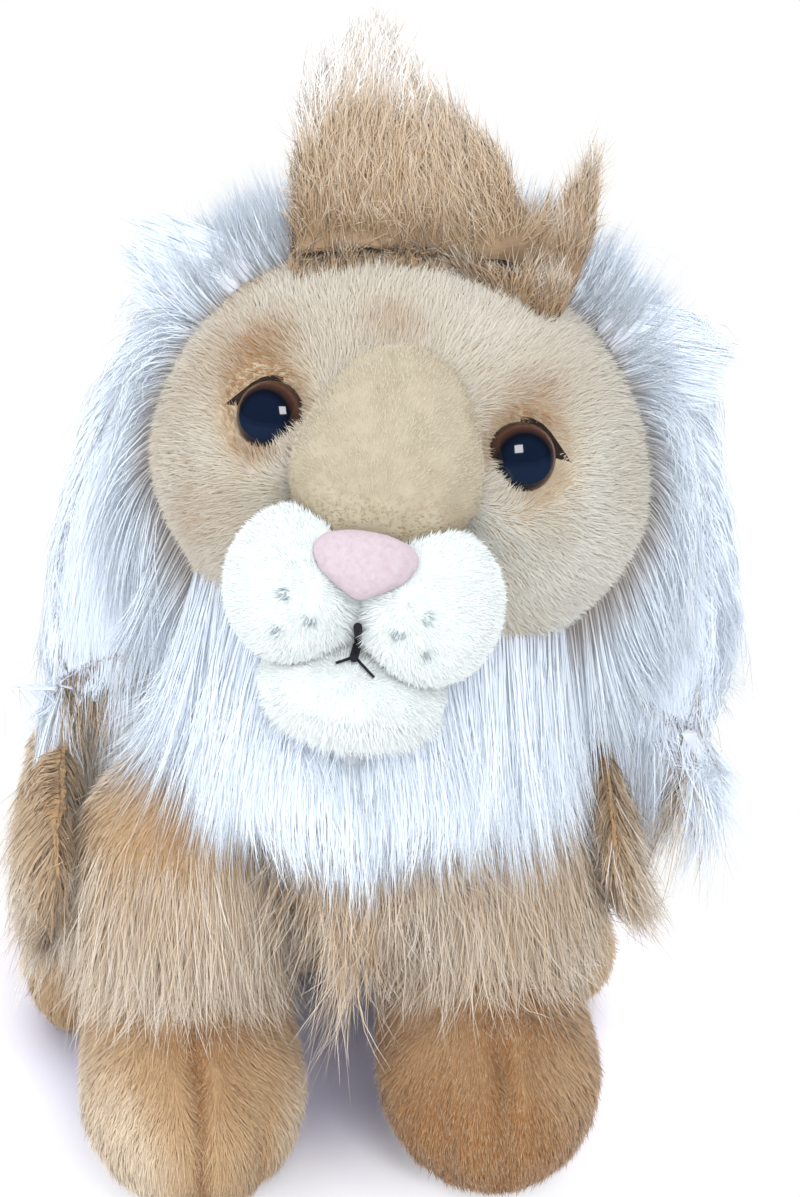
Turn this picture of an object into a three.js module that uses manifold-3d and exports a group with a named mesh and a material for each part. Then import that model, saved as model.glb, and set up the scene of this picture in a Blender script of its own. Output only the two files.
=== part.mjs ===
// Seated plush lion cub with a long mane. Millimetres, +Z up, the body looks along -Y, its left is +X.
// Each stuffed piece is a closed form that swells and tapers along a route. A piece that meets a
// larger one is cut by it and keeps a thin sewing clearance.
import * as THREE from 'three';
import Module from 'manifold-3d';
import { mergeVertices } from 'three/addons/utils/BufferGeometryUtils.js';

const wasm = await Module();
wasm.setup();

// Clearances
const seamGap = 0.3;            // between two sewn pieces
const ruffClearance = 1.1;      // between what turns with the head and what stays on the body
const floorFlat = 0.5;          // how deep a form that stands on the floor is pressed flat
const overrun = 20;             // how far a cutting tool runs past the piece it cuts

// Torso
const torsoWidth = 98;
const torsoDepth = 90;
const torsoReach = 100;         // front to back, neck to middle of the rump
const neckHeight = 112;
const neckRadius = 30;
const neckLean = 8;             // the soft neck leans to the lion's left
const hipSeam = 42;             // flank, where a hind leg is sewn on
const pouchWidth = 58;
const pouchDepth = 44;
const pouchHeight = 40;
const closingSeamWidth = 3;
const closingSeamLength = 24;

// Collar surface round the neck axis: the head and mane turn above it
const ruffReach = 96;
const collarShares = [[0.46, 0.905], [0.58, 0.872], [0.73, 0.79], [1, 0.69]];

// Head
const headWidth = 107;
const headDepth = 90;
const headHeight = 99;
const headForward = 15;         // the head's middle lies this far in front of the neck
const headSide = 9;             // and this far to the lion's left
const headTurn = -13;           // degrees, to the lion's right
const headTilt = 8;             // degrees, towards the lion's left shoulder
const headRaise = 12;           // degrees, nose up
const jawNarrowingShare = 0.2;  // of the width, lost at the jaw

// Face
const bridgeLength = 60;
const bridgeWidth = 42.5;
const bridgeThickness = 27;
const muzzleWidth = 28.5;
const muzzleDepth = 33;
const muzzleHeight = 32;
const chinWidth = 39;
const chinDepth = 30;
const chinHeight = 21;
const noseWidth = 23.5;
const noseHeight = 13.5;
const noseThickness = 5;

// Eyes
const eyeDiameter = 15;
const eyeDome = 5.4;
const eyeFlange = 1.1;
const eyeSpacing = 51;
const eyeHeightShare = 0.115;   // of the head height, above its middle
const eyeTurnOut = 17;          // degrees
const eyeSink = 2.6;            // how far the seat lies under the plush surface
const shankDiameter = 4;
const shankLength = 11;
const linerDiameter = 17;
const linerThickness = 0.8;
const linerCorner = 11.8;       // from the eye's middle to the pointed outer corner
const washerDiameter = 15.5;
const washerThickness = 1.6;
const washerDepth = 3.6;        // behind the liner

// Ears
const earWidth = 26;
const earHeight = 27;
const earThickness = 7;

// Mane, on the head
const maneThickness = 34;
const maneDepth = 74;
const crownHeight = 49;
const crownWidth = 64;
const crownThickness = 24;
const backManeThickness = 34;
const throatWidth = 66;
const throatThickness = 20;

// Long pile on the body
const mantleThickness = 11;
const mantleLength = 52;
const mantleHeight = 40;
const bibWidth = 46;
const bibLength = 47;
const bibThickness = 16;

// Front legs
const legSpacing = 65;
const shoulderHeight = 73;
const shoulderDiameter = 45;
const pawWidth = 50;
const pawHeight = 46;
const pawReach = 46;            // from the shoulder's middle to the toes
const legSwingBack = -8;        // degrees
const legSwingForward = 20;

// Hind legs
const haunchLength = 74;
const haunchHeight = 66;
const hindLegWidth = 25.6;
const footHeight = 32;
const footReach = 64;           // from the haunch's middle to the toes
const footTurnOut = 10;         // how far out the left foot's toes lie

// Tail
const tailDiameter = 13;
const tailLength = 88;
const tailSwing = 60;           // degrees, outward
const tuftDiameter = 22;
const tuftLength = 30;

const degree = Math.PI / 180;
const sides = { left: 1, right: -1 };

// Fabric and plastic colours
const tanPlush = [0xc9a57c, 0.95];
const creamPlush = [0xd9c3a3, 0.95];
const olivePile = [0xb59d6c, 0.9];
const whitePile = [0xf2f0ea, 0.9];
const maneWhite = [0xe3e6ec, 0.92];
const maneTan = [0xc39c72, 0.92];
const noseFabric = [0xe9b9b4, 0.6];
const eyePlastic = [0x1b2234, 0.12];
const linerFelt = [0x1d1a1c, 0.9];
const washerPlastic = [0xe8e8e4, 0.45];
const pouchCloth = [0xdad6cc, 0.9];

// Closes a three.js geometry: one set of shared vertices, no empty faces, faces pointing out.
function closed(geometry) {
  geometry.deleteAttribute('normal');
  geometry.deleteAttribute('uv');
  const merged = mergeVertices(geometry);
  const index = [];
  for (let i = 0; i < merged.index.count; i += 3) {
    const [a, b, c] = [0, 1, 2].map((k) => merged.index.getX(i + k));
    if (a !== b && b !== c && c !== a) index.push(a, b, c);
  }
  merged.setIndex(index);
  return facingOut(merged);
}

function facingOut(geometry) {
  const at = geometry.attributes.position;
  const [a, b, c] = [new THREE.Vector3(), new THREE.Vector3(), new THREE.Vector3()];
  let volume = 0;
  for (let i = 0; i < geometry.index.count; i += 3) {
    a.fromBufferAttribute(at, geometry.index.getX(i));
    b.fromBufferAttribute(at, geometry.index.getX(i + 1));
    c.fromBufferAttribute(at, geometry.index.getX(i + 2));
    volume += a.dot(b.cross(c));
  }
  if (volume < 0) geometry.index.array.reverse();
  return geometry;
}

function solid(geometry) {
  const vertProperties = new Float32Array(geometry.attributes.position.array);
  const triVerts = new Uint32Array(geometry.index.array);
  return new wasm.Manifold(new wasm.Mesh({ numProp: 3, vertProperties, triVerts }));
}

function fromSolid(shape) {
  const mesh = shape.getMesh();
  const geometry = new THREE.BufferGeometry();
  geometry.setAttribute('position', new THREE.BufferAttribute(new Float32Array(mesh.vertProperties), 3));
  geometry.setIndex(Array.from(mesh.triVerts));
  return geometry;
}

function cut(form, ...tools) {
  return fromSolid(tools.reduce((rest, tool) => rest.subtract(solid(tool)), solid(form)));
}

function join(...forms) {
  return fromSolid(forms.slice(1).reduce((sum, form) => sum.add(solid(form)), solid(forms[0])));
}

// A stuffed form. Each station is [x, y, z, half size across, half size through]; the form swells
// and tapers smoothly from one to the next and closes in rounded ends, whose lengths are shares of
// the route.
// grow makes the same form thicker all round, as the tool that cuts its neighbours.
function stuffedForm(stations, options) {
  const { across = [1, 0, 0], rings, around, capShares, grow = 0 } = options;
  const route = new THREE.CatmullRomCurve3(stations.map(([x, y, z]) => new THREE.Vector3(x, y, z)));
  const swell = new THREE.CatmullRomCurve3(stations.map(([, , , w, h]) => new THREE.Vector3(w, h, 0)));
  const points = [];
  const index = [];
  const end = (t, outward) => route.getPoint(t).addScaledVector(route.getTangent(t), outward * grow);
  points.push(...end(0, -1).toArray());
  for (let i = 1; i < rings; i += 1) {
    const t = (1 - Math.cos((Math.PI * i) / rings)) / 2;
    const start = Math.max(0, 1 - t / capShares[0]);
    const finish = Math.max(0, 1 - (1 - t) / capShares[1]);
    const cap = Math.sqrt((1 - start ** 2) * (1 - finish ** 2));
    const centre = route.getPoint(t);
    const along = route.getTangent(t);
    const half = swell.getPoint(t);
    const wide = new THREE.Vector3(...across);
    wide.addScaledVector(along, -wide.dot(along)).normalize();
    const thick = new THREE.Vector3().crossVectors(along, wide);
    for (let k = 0; k < around; k += 1) {
      const angle = (2 * Math.PI * (k + 0.5)) / around;
      const point = centre.clone()
        .addScaledVector(wide, Math.cos(angle) * (half.x * cap + grow))
        .addScaledVector(thick, Math.sin(angle) * (half.y * cap + grow));
      points.push(...point.toArray());
    }
  }
  points.push(...end(1, 1).toArray());
  const last = points.length / 3 - 1;
  for (let k = 0; k < around; k += 1) {
    const next = (k + 1) % around;
    index.push(0, 1 + next, 1 + k);
    index.push(last, last - around + k, last - around + next);
    for (let i = 0; i < rings - 2; i += 1) {
      const [row, above] = [1 + i * around, 1 + (i + 1) * around];
      index.push(row + k, row + next, above + k, row + next, above + next, above + k);
    }
  }
  const geometry = new THREE.BufferGeometry();
  geometry.setAttribute('position', new THREE.BufferAttribute(new Float32Array(points), 3));
  geometry.setIndex(index);
  return facingOut(geometry);
}

// An egg-shaped form: width, depth and height are its full sizes.
function roundForm([width, depth, height], [x, y, z], { grow = 0, around = 20, rows = 14 } = {}) {
  const ball = new THREE.SphereGeometry(1, around, rows).rotateX(Math.PI / 2);
  ball.scale(width / 2 + grow, depth / 2 + grow, height / 2 + grow);
  return closed(ball.translate(x, y, z));
}

// Lowers a form so that the floor presses it flat by floorFlat. Its grown copies move alike.
function settled(build) {
  const lowest = new THREE.Box3().setFromBufferAttribute(build(0).attributes.position).min.z;
  return (grow) => build(grow).translate(0, 0, -floorFlat - lowest);
}

function block([x0, x1], [y0, y1], [z0, z1]) {
  const box = new THREE.BoxGeometry(x1 - x0, y1 - y0, z1 - z0);
  return closed(box.translate((x0 + x1) / 2, (y0 + y1) / 2, (z0 + z1) / 2));
}

// Everything under the floor, to press flat what stands on it.
function underFloor() {
  const far = torsoReach + footReach + tailLength;
  return block([-far, far], [-far, far], [-overrun, 0]);
}

// The collar surface as a solid of revolution round the neck axis, filled below or above.
function collar(below) {
  const rise = below ? 1 : 0;
  const points = [[neckRadius + rise * ruffClearance, neckHeight + rise * seamGap]];
  for (const [outShare, upShare] of collarShares) {
    points.push([outShare * ruffReach, upShare * neckHeight + rise * ruffClearance]);
  }
  const [edge, level] = points.at(-1);
  const far = edge + overrun;
  const closeAt = below ? -overrun : neckHeight + headHeight;
  const profile = [[0, points[0][1]], ...points, [far, level], [far, closeAt], [0, closeAt]];
  const ring = new THREE.LatheGeometry(profile.map(([r, z]) => new THREE.Vector2(r, z)), 48);
  return closed(ring.rotateX(Math.PI / 2).translate(neckLean, neckY, 0));
}

const neckY = -0.3 * torsoReach;

// Torso
const torsoStations = [
  [neckLean, neckY, neckHeight + neckRadius / 2, neckRadius, neckRadius],
  [neckLean * 0.95, neckY + torsoReach * 0.02, neckHeight * 0.86, torsoWidth * 0.42, torsoDepth * 0.375],
  [neckLean * 0.5, -torsoReach * 0.08, neckHeight * 0.61, torsoWidth * 0.465, torsoDepth * 0.465],
  [neckLean * 0.15, torsoReach * 0.3, torsoDepth * 0.53, torsoWidth * 0.475, torsoDepth * 0.52],
  [0, torsoReach * 0.62, torsoDepth * 0.49, torsoWidth * 0.475, torsoDepth * 0.49],
  [0, torsoReach * 0.88, torsoDepth * 0.44, torsoWidth * 0.44, torsoDepth * 0.42],
];
const torsoForm = settled((grow) => stuffedForm(torsoStations,
  { rings: 18, around: 20, capShares: [0.1, 0.34], grow }));

const pouchPlace = [0, torsoReach * 0.42, pouchHeight * 0.5 + torsoDepth * 0.15];
const pouchForm = (grow) => roundForm([pouchWidth, pouchDepth, pouchHeight], pouchPlace,
  { grow, around: 14, rows: 8 });

// Stuffed body, flat under the rump and at both flanks. The pouch lies inside, behind the closing
// seam in the lower back, above the tail.
function torso() {
  const far = torsoWidth + overrun;
  const flank = (side) => block([side * hipSeam, side * far].sort((a, b) => a - b),
    [-far, far], [-overrun, far]);
  const [, pouchY, pouchZ] = pouchPlace;
  const seamZ = pouchZ + pouchHeight * 0.1;
  const seam = block([-closingSeamWidth / 2, closingSeamWidth / 2], [pouchY, far],
    [seamZ - closingSeamLength / 2, seamZ + closingSeamLength / 2]);
  return cut(torsoForm(0), underFloor(), collar(false), flank(1), flank(-1), pouchForm(seamGap), seam,
    shoulderBall(1, seamGap), shoulderBall(-1, seamGap), tailBall(seamGap));
}

// Front legs: a ball at the shoulder, a straight leg, and a round paw that reaches forward.
const shoulderY = neckY - torsoDepth * 0.355;
const shoulderPlace = (side) => [side * legSpacing / 2, shoulderY, shoulderHeight];

// The ball's facets lie round the X axis, about which the leg swings, so they never catch.
function shoulderBall(side, grow) {
  const ball = new THREE.SphereGeometry(shoulderDiameter / 2 + grow, 24, 12).rotateZ(Math.PI / 2);
  return closed(ball.translate(...shoulderPlace(side)));
}

function frontLegForm(side, grow) {
  const [x, y, z] = shoulderPlace(side);
  const pawZ = pawHeight * 0.5;
  const stations = [
    [x, y, z + shoulderDiameter * 0.2, shoulderDiameter * 0.42, shoulderDiameter * 0.42],
    [x, y - pawReach * 0.02, z * 0.7, shoulderDiameter * 0.48, shoulderDiameter * 0.455],
    [x, y - pawReach * 0.14, z * 0.45, pawWidth * 0.475, pawHeight * 0.48],
    [x, y - pawReach * 0.5, pawZ, pawWidth * 0.5, pawHeight * 0.5],
    [x, y - pawReach, pawZ * 0.98, pawWidth * 0.46, pawHeight * 0.47],
  ];
  return settled((more) => stuffedForm(stations,
    { rings: 14, around: 16, capShares: [0.1, 0.34], grow: more }))(grow);
}

// The same form turned about the shoulder seam.
function swung(form, side, angle) {
  const [x, y, z] = shoulderPlace(side);
  return form.translate(-x, -y, -z).rotateX(-angle * degree).translate(x, y, z);
}

function frontLeg(side) {
  const swings = [legSwingBack, legSwingBack / 2, 0, legSwingForward / 2, legSwingForward];
  const body = swings.map((angle) => swung(torsoForm(seamGap), side, -angle));
  return join(cut(frontLegForm(side, 0), underFloor(), ...body), shoulderBall(side, 0));
}

// Hind legs: a haunch sewn flat to the flank and a foot lying forward along the floor.
const hipPlace = (side) => [side * (hipSeam + seamGap), torsoReach * 0.46, haunchHeight * 0.5];

function hindLeg(side) {
  const [x, y, z] = hipPlace(side);
  const footZ = footHeight * 0.5;
  const out = (share) => x + side * hindLegWidth * share;
  const toesOut = side > 0 ? footTurnOut : 0;
  const stations = [
    [out(0.2), y + haunchLength * 0.5, z * 0.84, hindLegWidth * 0.6, haunchHeight * 0.42],
    [out(0.22), y + haunchLength * 0.18, z, hindLegWidth * 0.74, haunchHeight * 0.5],
    [out(0.3), y - haunchLength * 0.18, z * 0.86, hindLegWidth * 0.7, haunchHeight * 0.44],
    [out(0.47) + toesOut * 0.6, y - footReach * 0.62, footZ, hindLegWidth * 0.52, footHeight * 0.5],
    [out(0.5) + toesOut, y - footReach, footZ, hindLegWidth * 0.5, footHeight * 0.49],
  ];
  const form = settled((grow) => stuffedForm(stations,
    { rings: 14, around: 16, capShares: [0.3, 0.22], grow }))(0);
  const far = torsoReach + footReach;
  const inside = block([-far, side > 0 ? x : far].sort((a, b) => a - b), [-far, far], [-overrun, far]);
  const outside = block([side > 0 ? -far : x, far], [-far, far], [-overrun, far]);
  return cut(form, underFloor(), side > 0 ? inside : outside);
}

// Tail: a round root in the rump, then along the floor round the left haunch, tuft at the end.
const tailHeight = tailDiameter * 1.3;
const tailRoot = [0, rumpDepth(tailHeight) + tailDiameter * 0.2, tailHeight];

// How far back the torso's surface lies at a height, on its middle line.
function rumpDepth(height) {
  const skin = new THREE.Mesh(torsoForm(0), new THREE.MeshBasicMaterial());
  const behind = new THREE.Vector3(0, torsoReach + torsoDepth + overrun, height);
  const [hit] = new THREE.Raycaster(behind, new THREE.Vector3(0, -1, 0)).intersectObject(skin);
  return hit.point.y;
}

function tailBall(grow) {
  return roundForm([tailDiameter, tailDiameter, tailDiameter], tailRoot, { grow, around: 14, rows: 10 });
}

function tailForm(grow) {
  const [x, y, z] = tailRoot;
  const [radius, rest] = [tailDiameter / 2, tailDiameter * 0.42 - floorFlat];
  const [thick, thin] = [radius * 0.9, radius * 0.84];
  const stations = [
    [x, y - radius * 0.1, z, thick, thick],
    [x + tailLength * 0.13, y + tailLength * 0.17, rest * 1.9, thick, thick],
    [x + tailLength * 0.37, y + tailLength * 0.29, rest * 1.05, thin, thin],
    [x + tailLength * 0.66, y + tailLength * 0.26, rest, thin, thin],
    [x + tailLength * 0.87, y + tailLength * 0.1, rest, thin, thin],
  ];
  return stuffedForm(stations, { across: [0, 0, 1], rings: 14, around: 10, capShares: [0.05, 0.08], grow });
}

// The tail swings outward about its root, so the torso cuts it at several angles of the swing.
function tail() {
  const [x, y, z] = tailRoot;
  const body = [0, tailSwing / 3, tailSwing * 2 / 3, tailSwing].map((angle) => torsoForm(seamGap)
    .translate(-x, -y, -z).rotateZ(-angle * degree).translate(x, y, z));
  return join(cut(tailForm(0), underFloor(), ...body), tailBall(0));
}

function tailTuft() {
  const [x, y] = tailRoot;
  const rest = tuftDiameter * 0.45 - floorFlat;
  const [x0, y0] = [x + tailLength * 0.8, y + tailLength * 0.18];
  const [thin, full] = [tuftDiameter * 0.3, tuftDiameter * 0.45];
  const stations = [
    [x0, y0, rest * 0.7, thin, thin],
    [x0 + tuftLength * 0.36, y0 - tuftLength * 0.4, rest, full, full],
    [x0 + tuftLength * 0.52, y0 - tuftLength * 0.9, rest, thin, thin],
  ];
  return cut(stuffedForm(stations, { across: [0, 0, 1], rings: 10, around: 12, capShares: [0.4, 0.5] }),
    underFloor(), tailForm(seamGap));
}

// Long tan pile over each shoulder, outside the front leg and under the collar surface.
function mantle(side) {
  const [x, y, z] = shoulderPlace(side);
  const out = x + side * (pawWidth / 2 + seamGap + mantleThickness * 0.2);
  const stations = [
    [out - side * mantleThickness * 0.5, y + mantleLength * 0.66, z + mantleHeight * 0.12, mantleHeight * 0.3,
      mantleThickness * 0.8],
    [out, y + mantleLength * 0.32, z + mantleHeight * 0.1, mantleHeight * 0.46, mantleThickness * 0.62],
    [out, y, z, mantleHeight * 0.5, mantleThickness * 0.55],
    [out, y - mantleLength * 0.34, z - mantleHeight * 0.02, mantleHeight * 0.38, mantleThickness * 0.4],
  ];
  const form = stuffedForm(stations, { across: [0, 0, 1], rings: 12, around: 12, capShares: [0.35, 0.4] });
  const swings = [legSwingBack, 0, legSwingForward / 2, legSwingForward];
  const legs = swings.map((angle) => swung(frontLegForm(side, ruffClearance), side, angle));
  return cut(form, collar(false), torsoForm(seamGap), shoulderBall(side, seamGap), ...legs);
}

// Chest bib: wide under the chin and narrow between the legs.
function chestBib() {
  const top = neckHeight * 0.86;
  const front = shoulderY - shoulderDiameter * 0.5;
  const x = neckLean;
  const stations = [
    [x, front + bibThickness * 1.2, top, bibWidth * 0.5, bibThickness * 0.5],
    [x * 0.9, front + bibThickness * 0.1, top - bibLength * 0.2, bibWidth * 0.5, bibThickness * 0.5],
    [x * 0.5, front - bibThickness * 0.1, top - bibLength * 0.5, bibWidth * 0.22, bibThickness * 0.42],
    [x * 0.2, front, top - bibLength, bibWidth * 0.12, bibThickness * 0.3],
  ];
  const form = stuffedForm(stations, { rings: 12, around: 12, capShares: [0.3, 0.35] });
  const swings = [legSwingBack, 0, legSwingForward / 2, legSwingForward];
  const legs = [1, -1].flatMap((side) => [shoulderBall(side, seamGap),
    ...swings.map((angle) => swung(frontLegForm(side, ruffClearance), side, angle))]);
  return cut(form, collar(false), torsoForm(seamGap), ...legs);
}

// The head and all that turns with it are modelled in the head's own frame: the face looks along -Y.
const headPose = new THREE.Object3D();
headPose.position.set(neckLean + headSide, neckY - headForward, neckHeight + headHeight * 0.384);
headPose.rotation.set(-headRaise * degree, headTilt * degree, headTurn * degree, 'ZYX');
headPose.updateMatrix();

const inHeadFrame = (geometry) => geometry.applyMatrix4(headPose.matrix.clone().invert());
const bodyBelow = () => inHeadFrame(collar(true));

function headForm(grow) {
  const form = roundForm([headWidth, headDepth, headHeight], [0, 0, 0], { grow, around: 26, rows: 18 });
  const at = form.attributes.position;
  for (let i = 0; i < at.count; i += 1) {
    const drop = THREE.MathUtils.smoothstep(-at.getZ(i) / headHeight, 0, 0.5);
    at.setX(i, at.getX(i) * (1 - jawNarrowingShare * drop));
  }
  return form;
}

// How far in front of the head's middle its surface lies, at a place seen from the front.
function faceDepth(x, z) {
  return (headDepth / 2) * Math.sqrt(1 - (2 * x / headWidth) ** 2 - (2 * z / headHeight) ** 2);
}

// Puts a piece made round the Y axis, looking along -Y, at an eye seat.
function atEye(geometry, side) {
  const [x, z] = [side * eyeSpacing / 2, headHeight * eyeHeightShare];
  return geometry.rotateZ(side * eyeTurnOut * degree).translate(x, eyeSink - faceDepth(x, z), z);
}

function lathe(profile, around) {
  return closed(new THREE.LatheGeometry(profile.map(([r, y]) => new THREE.Vector2(r, y)), around));
}

// Safety eye: a domed front and a straight shank behind it.
function eye(side) {
  const radius = eyeDiameter / 2;
  const dome = Array.from({ length: 6 }, (_, i) => {
    const angle = (Math.PI / 2) * (i / 5);
    return [radius * Math.sin(angle), -eyeFlange - eyeDome * Math.cos(angle)];
  });
  dome[0][0] = 0;
  const shank = shankDiameter / 2;
  return atEye(lathe([...dome, [radius, 0], [shank, 0], [shank, shankLength], [0, shankLength]], 20), side);
}

// Felt liner under the eye: round, with one corner drawn to a point at the outer side.
function linerShape(side, grow) {
  const radius = linerDiameter / 2 + grow;
  const reach = linerCorner + grow;
  const tangent = Math.acos(radius / reach);
  const shape = new THREE.Shape();
  shape.moveTo(side * reach, 0);
  for (let i = 0; i <= 16; i += 1) {
    const angle = tangent + (2 * Math.PI - 2 * tangent) * (i / 16);
    shape.lineTo(side * radius * Math.cos(angle), radius * Math.sin(angle));
  }
  shape.closePath();
  return shape;
}

function linerBlock(side, grow, depth) {
  const slab = new THREE.ExtrudeGeometry(linerShape(side, grow), { depth, bevelEnabled: false });
  return closed(slab.rotateX(Math.PI / 2));
}

function eyeLiner(side) {
  const bore = shankDiameter / 2 + seamGap;
  const hole = lathe([[0, -overrun], [bore, -overrun], [bore, overrun], [0, overrun]], 20);
  const slab = linerBlock(side, 0, linerThickness).translate(0, seamGap + linerThickness, 0);
  return atEye(cut(slab, hole), side);
}

const washerPlace = linerThickness + 2 * seamGap + washerDepth;

// Lock washer on the shank, inside the head.
function eyeWasher(side) {
  const [bore, radius] = [shankDiameter / 2 + seamGap, washerDiameter / 2];
  const [front, back] = [washerPlace, washerPlace + washerThickness];
  const ring = [[bore, front], [radius, front], [radius, back], [bore, back], [bore, front]];
  return atEye(lathe(ring, 20), side);
}

// What the head gives up for an eye: the sunken seat, the shank's hole and the washer's pocket.
function eyeSeat(side) {
  const seatFace = linerThickness + 2 * seamGap;
  const bore = shankDiameter / 2 + seamGap;
  const pocket = washerDiameter / 2 + seamGap;
  const [front, back] = [washerPlace - seamGap, washerPlace + washerThickness + seamGap];
  const end = shankLength + seamGap;
  const hole = lathe([[0, 0], [bore, 0], [bore, front], [pocket, front], [pocket, back], [bore, back],
    [bore, end], [0, end]], 20);
  const seat = linerBlock(side, seamGap, overrun).translate(0, seatFace, 0);
  return atEye(join(hole, seat), side);
}

function head() {
  return cut(headForm(0), bodyBelow(), eyeSeat(1), eyeSeat(-1));
}

// Nose bridge: a short pile panel, padded, from the brow down to the nose.
function bridgeForm(grow) {
  const brow = faceDepth(0, headHeight * 0.32);
  const tip = headDepth * 0.5 + bridgeLength * 0.36;
  const stations = [
    [0, -brow + bridgeThickness * 0.32, headHeight * 0.285, bridgeWidth * 0.22, bridgeThickness * 0.3],
    [0, -brow - bridgeLength * 0.04, headHeight * 0.2, bridgeWidth * 0.36, bridgeThickness * 0.4],
    [0, -brow - bridgeLength * 0.2, headHeight * 0.065, bridgeWidth * 0.47, bridgeThickness * 0.47],
    [0, -tip, -headHeight * 0.07, bridgeWidth * 0.48, bridgeThickness * 0.42],
  ];
  return stuffedForm(stations, { rings: 12, around: 14, capShares: [0.35, 0.3], grow });
}

function noseBridge() {
  return cut(bridgeForm(0), headForm(seamGap));
}

// Muzzle: two round lobes that meet at the middle, and a chin below them.
const muzzleY = -headDepth * 0.5 - muzzleDepth * 0.42;
const muzzleZ = -headHeight * 0.185;

function muzzleForm(side, grow) {
  const place = [side * (muzzleWidth / 2 - seamGap), muzzleY, muzzleZ];
  return roundForm([muzzleWidth, muzzleDepth, muzzleHeight], place, { grow, around: 16, rows: 10 });
}

function muzzle(side) {
  const far = muzzleWidth + overrun;
  const middle = block([-side * far, side * seamGap / 2].sort((a, b) => a - b),
    [muzzleY - far, muzzleY + far], [muzzleZ - far, muzzleZ + far]);
  return cut(muzzleForm(side, 0), middle, headForm(seamGap), bridgeForm(seamGap));
}

const chinPlace = [0, muzzleY + chinDepth * 0.24, muzzleZ - muzzleHeight * 0.5 - chinHeight * 0.2];
const chinForm = (grow) => roundForm([chinWidth, chinDepth, chinHeight], chinPlace,
  { grow, around: 14, rows: 8 });

function chin() {
  return cut(chinForm(0), headForm(seamGap), muzzleForm(1, seamGap), muzzleForm(-1, seamGap));
}

// Nose: a padded triangle, wide at the bridge and narrow at the mouth.
function noseForm() {
  const top = muzzleZ + muzzleHeight * 0.39;
  const front = muzzleY - muzzleDepth * 0.42;
  const stations = [
    [0, front + noseThickness * 0.6, top + noseHeight * 0.12, noseWidth * 0.44, noseThickness * 0.7],
    [0, front + noseThickness * 0.1, top - noseHeight * 0.3, noseWidth * 0.46, noseThickness * 0.85],
    [0, front, top - noseHeight * 0.88, noseWidth * 0.14, noseThickness * 0.6],
  ];
  return stuffedForm(stations, { rings: 8, around: 12, capShares: [0.3, 0.35] });
}

function nose() {
  const neighbours = [headForm, bridgeForm].map((form) => form(seamGap));
  return cut(noseForm(), ...neighbours, muzzleForm(1, seamGap), muzzleForm(-1, seamGap));
}

// Ears: small round cups at the temples, half hidden in the mane.
function earForm(side, grow) {
  const [out, up] = [headWidth * 0.43, headHeight * 0.34];
  const stations = [
    [side * out * 0.78, 0, up * 0.86, earWidth * 0.34, earThickness * 0.5],
    [side * out, 0, up, earWidth * 0.5, earThickness * 0.5],
    [side * (out + earHeight * 0.48), 0, up + earHeight * 0.3, earWidth * 0.36, earThickness * 0.42],
  ];
  const across = [0.35 * side, 0.2, -1];
  return stuffedForm(stations, { across, rings: 8, around: 14, capShares: [0.3, 0.5], grow });
}

function ear(side) {
  return cut(earForm(side, 0), headForm(seamGap));
}

// Side mane: from the temple down past the cheek to the shoulder, cut by the collar surface.
const maneOut = headWidth * 0.5;

function sideManeForm(side, grow) {
  const stations = [
    [side * maneOut * 0.5, headDepth * 0.12, headHeight * 0.52, maneDepth * 0.34, maneThickness * 0.36],
    [side * maneOut * 0.94, headDepth * 0.16, headHeight * 0.24, maneDepth * 0.46, maneThickness * 0.4],
    [side * maneOut * 1.1, headDepth * 0.13, -headHeight * 0.1, maneDepth * 0.5, maneThickness * 0.49],
    [side * maneOut * 1.14, headDepth * 0.04, -headHeight * 0.4, maneDepth * 0.52, maneThickness * 0.53],
    [side * maneOut * 1.02, -headDepth * 0.06, -headHeight * 0.76, maneDepth * 0.46, maneThickness * 0.5],
  ];
  return stuffedForm(stations, { across: [0, 1, 0], rings: 12, around: 14, capShares: [0.22, 0.25], grow });
}

function sideMane(side) {
  return cut(sideManeForm(side, 0), bodyBelow(), headForm(seamGap), earForm(side, seamGap));
}

// Crown: the upright tuft over the brow and a smaller one beside it.
function crownForm(grow) {
  const base = headHeight * 0.43;
  const rise = (share) => base + crownHeight * share;
  const tall = [
    [-crownWidth * 0.05, -headDepth * 0.06, rise(-0.12), crownWidth * 0.47, crownThickness * 0.5],
    [-crownWidth * 0.1, -headDepth * 0.1, rise(0.18), crownWidth * 0.46, crownThickness * 0.48],
    [-crownWidth * 0.2, -headDepth * 0.09, rise(0.38), crownWidth * 0.37, crownThickness * 0.42],
    [-crownWidth * 0.29, -headDepth * 0.06, rise(0.62), crownWidth * 0.27, crownThickness * 0.34],
    [-crownWidth * 0.28, -headDepth * 0.01, rise(0.85), crownWidth * 0.19, crownThickness * 0.27],
    [-crownWidth * 0.21, headDepth * 0.02, rise(1), crownWidth * 0.1, crownThickness * 0.18],
  ];
  const small = [
    [crownWidth * 0.27, -headDepth * 0.04, rise(-0.1), crownWidth * 0.24, crownThickness * 0.38],
    [crownWidth * 0.44, -headDepth * 0.05, rise(0.25), crownWidth * 0.13, crownThickness * 0.25],
    [crownWidth * 0.48, -headDepth * 0.03, rise(0.6), crownWidth * 0.05, crownThickness * 0.12],
  ];
  return join(stuffedForm(tall, { rings: 12, around: 14, capShares: [0.2, 0.25], grow }),
    stuffedForm(small, { rings: 8, around: 8, capShares: [0.3, 0.3], grow }));
}

function crown() {
  const neighbours = [1, -1].flatMap((side) => [earForm(side, seamGap), sideManeForm(side, seamGap)]);
  return cut(crownForm(0), headForm(seamGap), ...neighbours);
}

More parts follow.
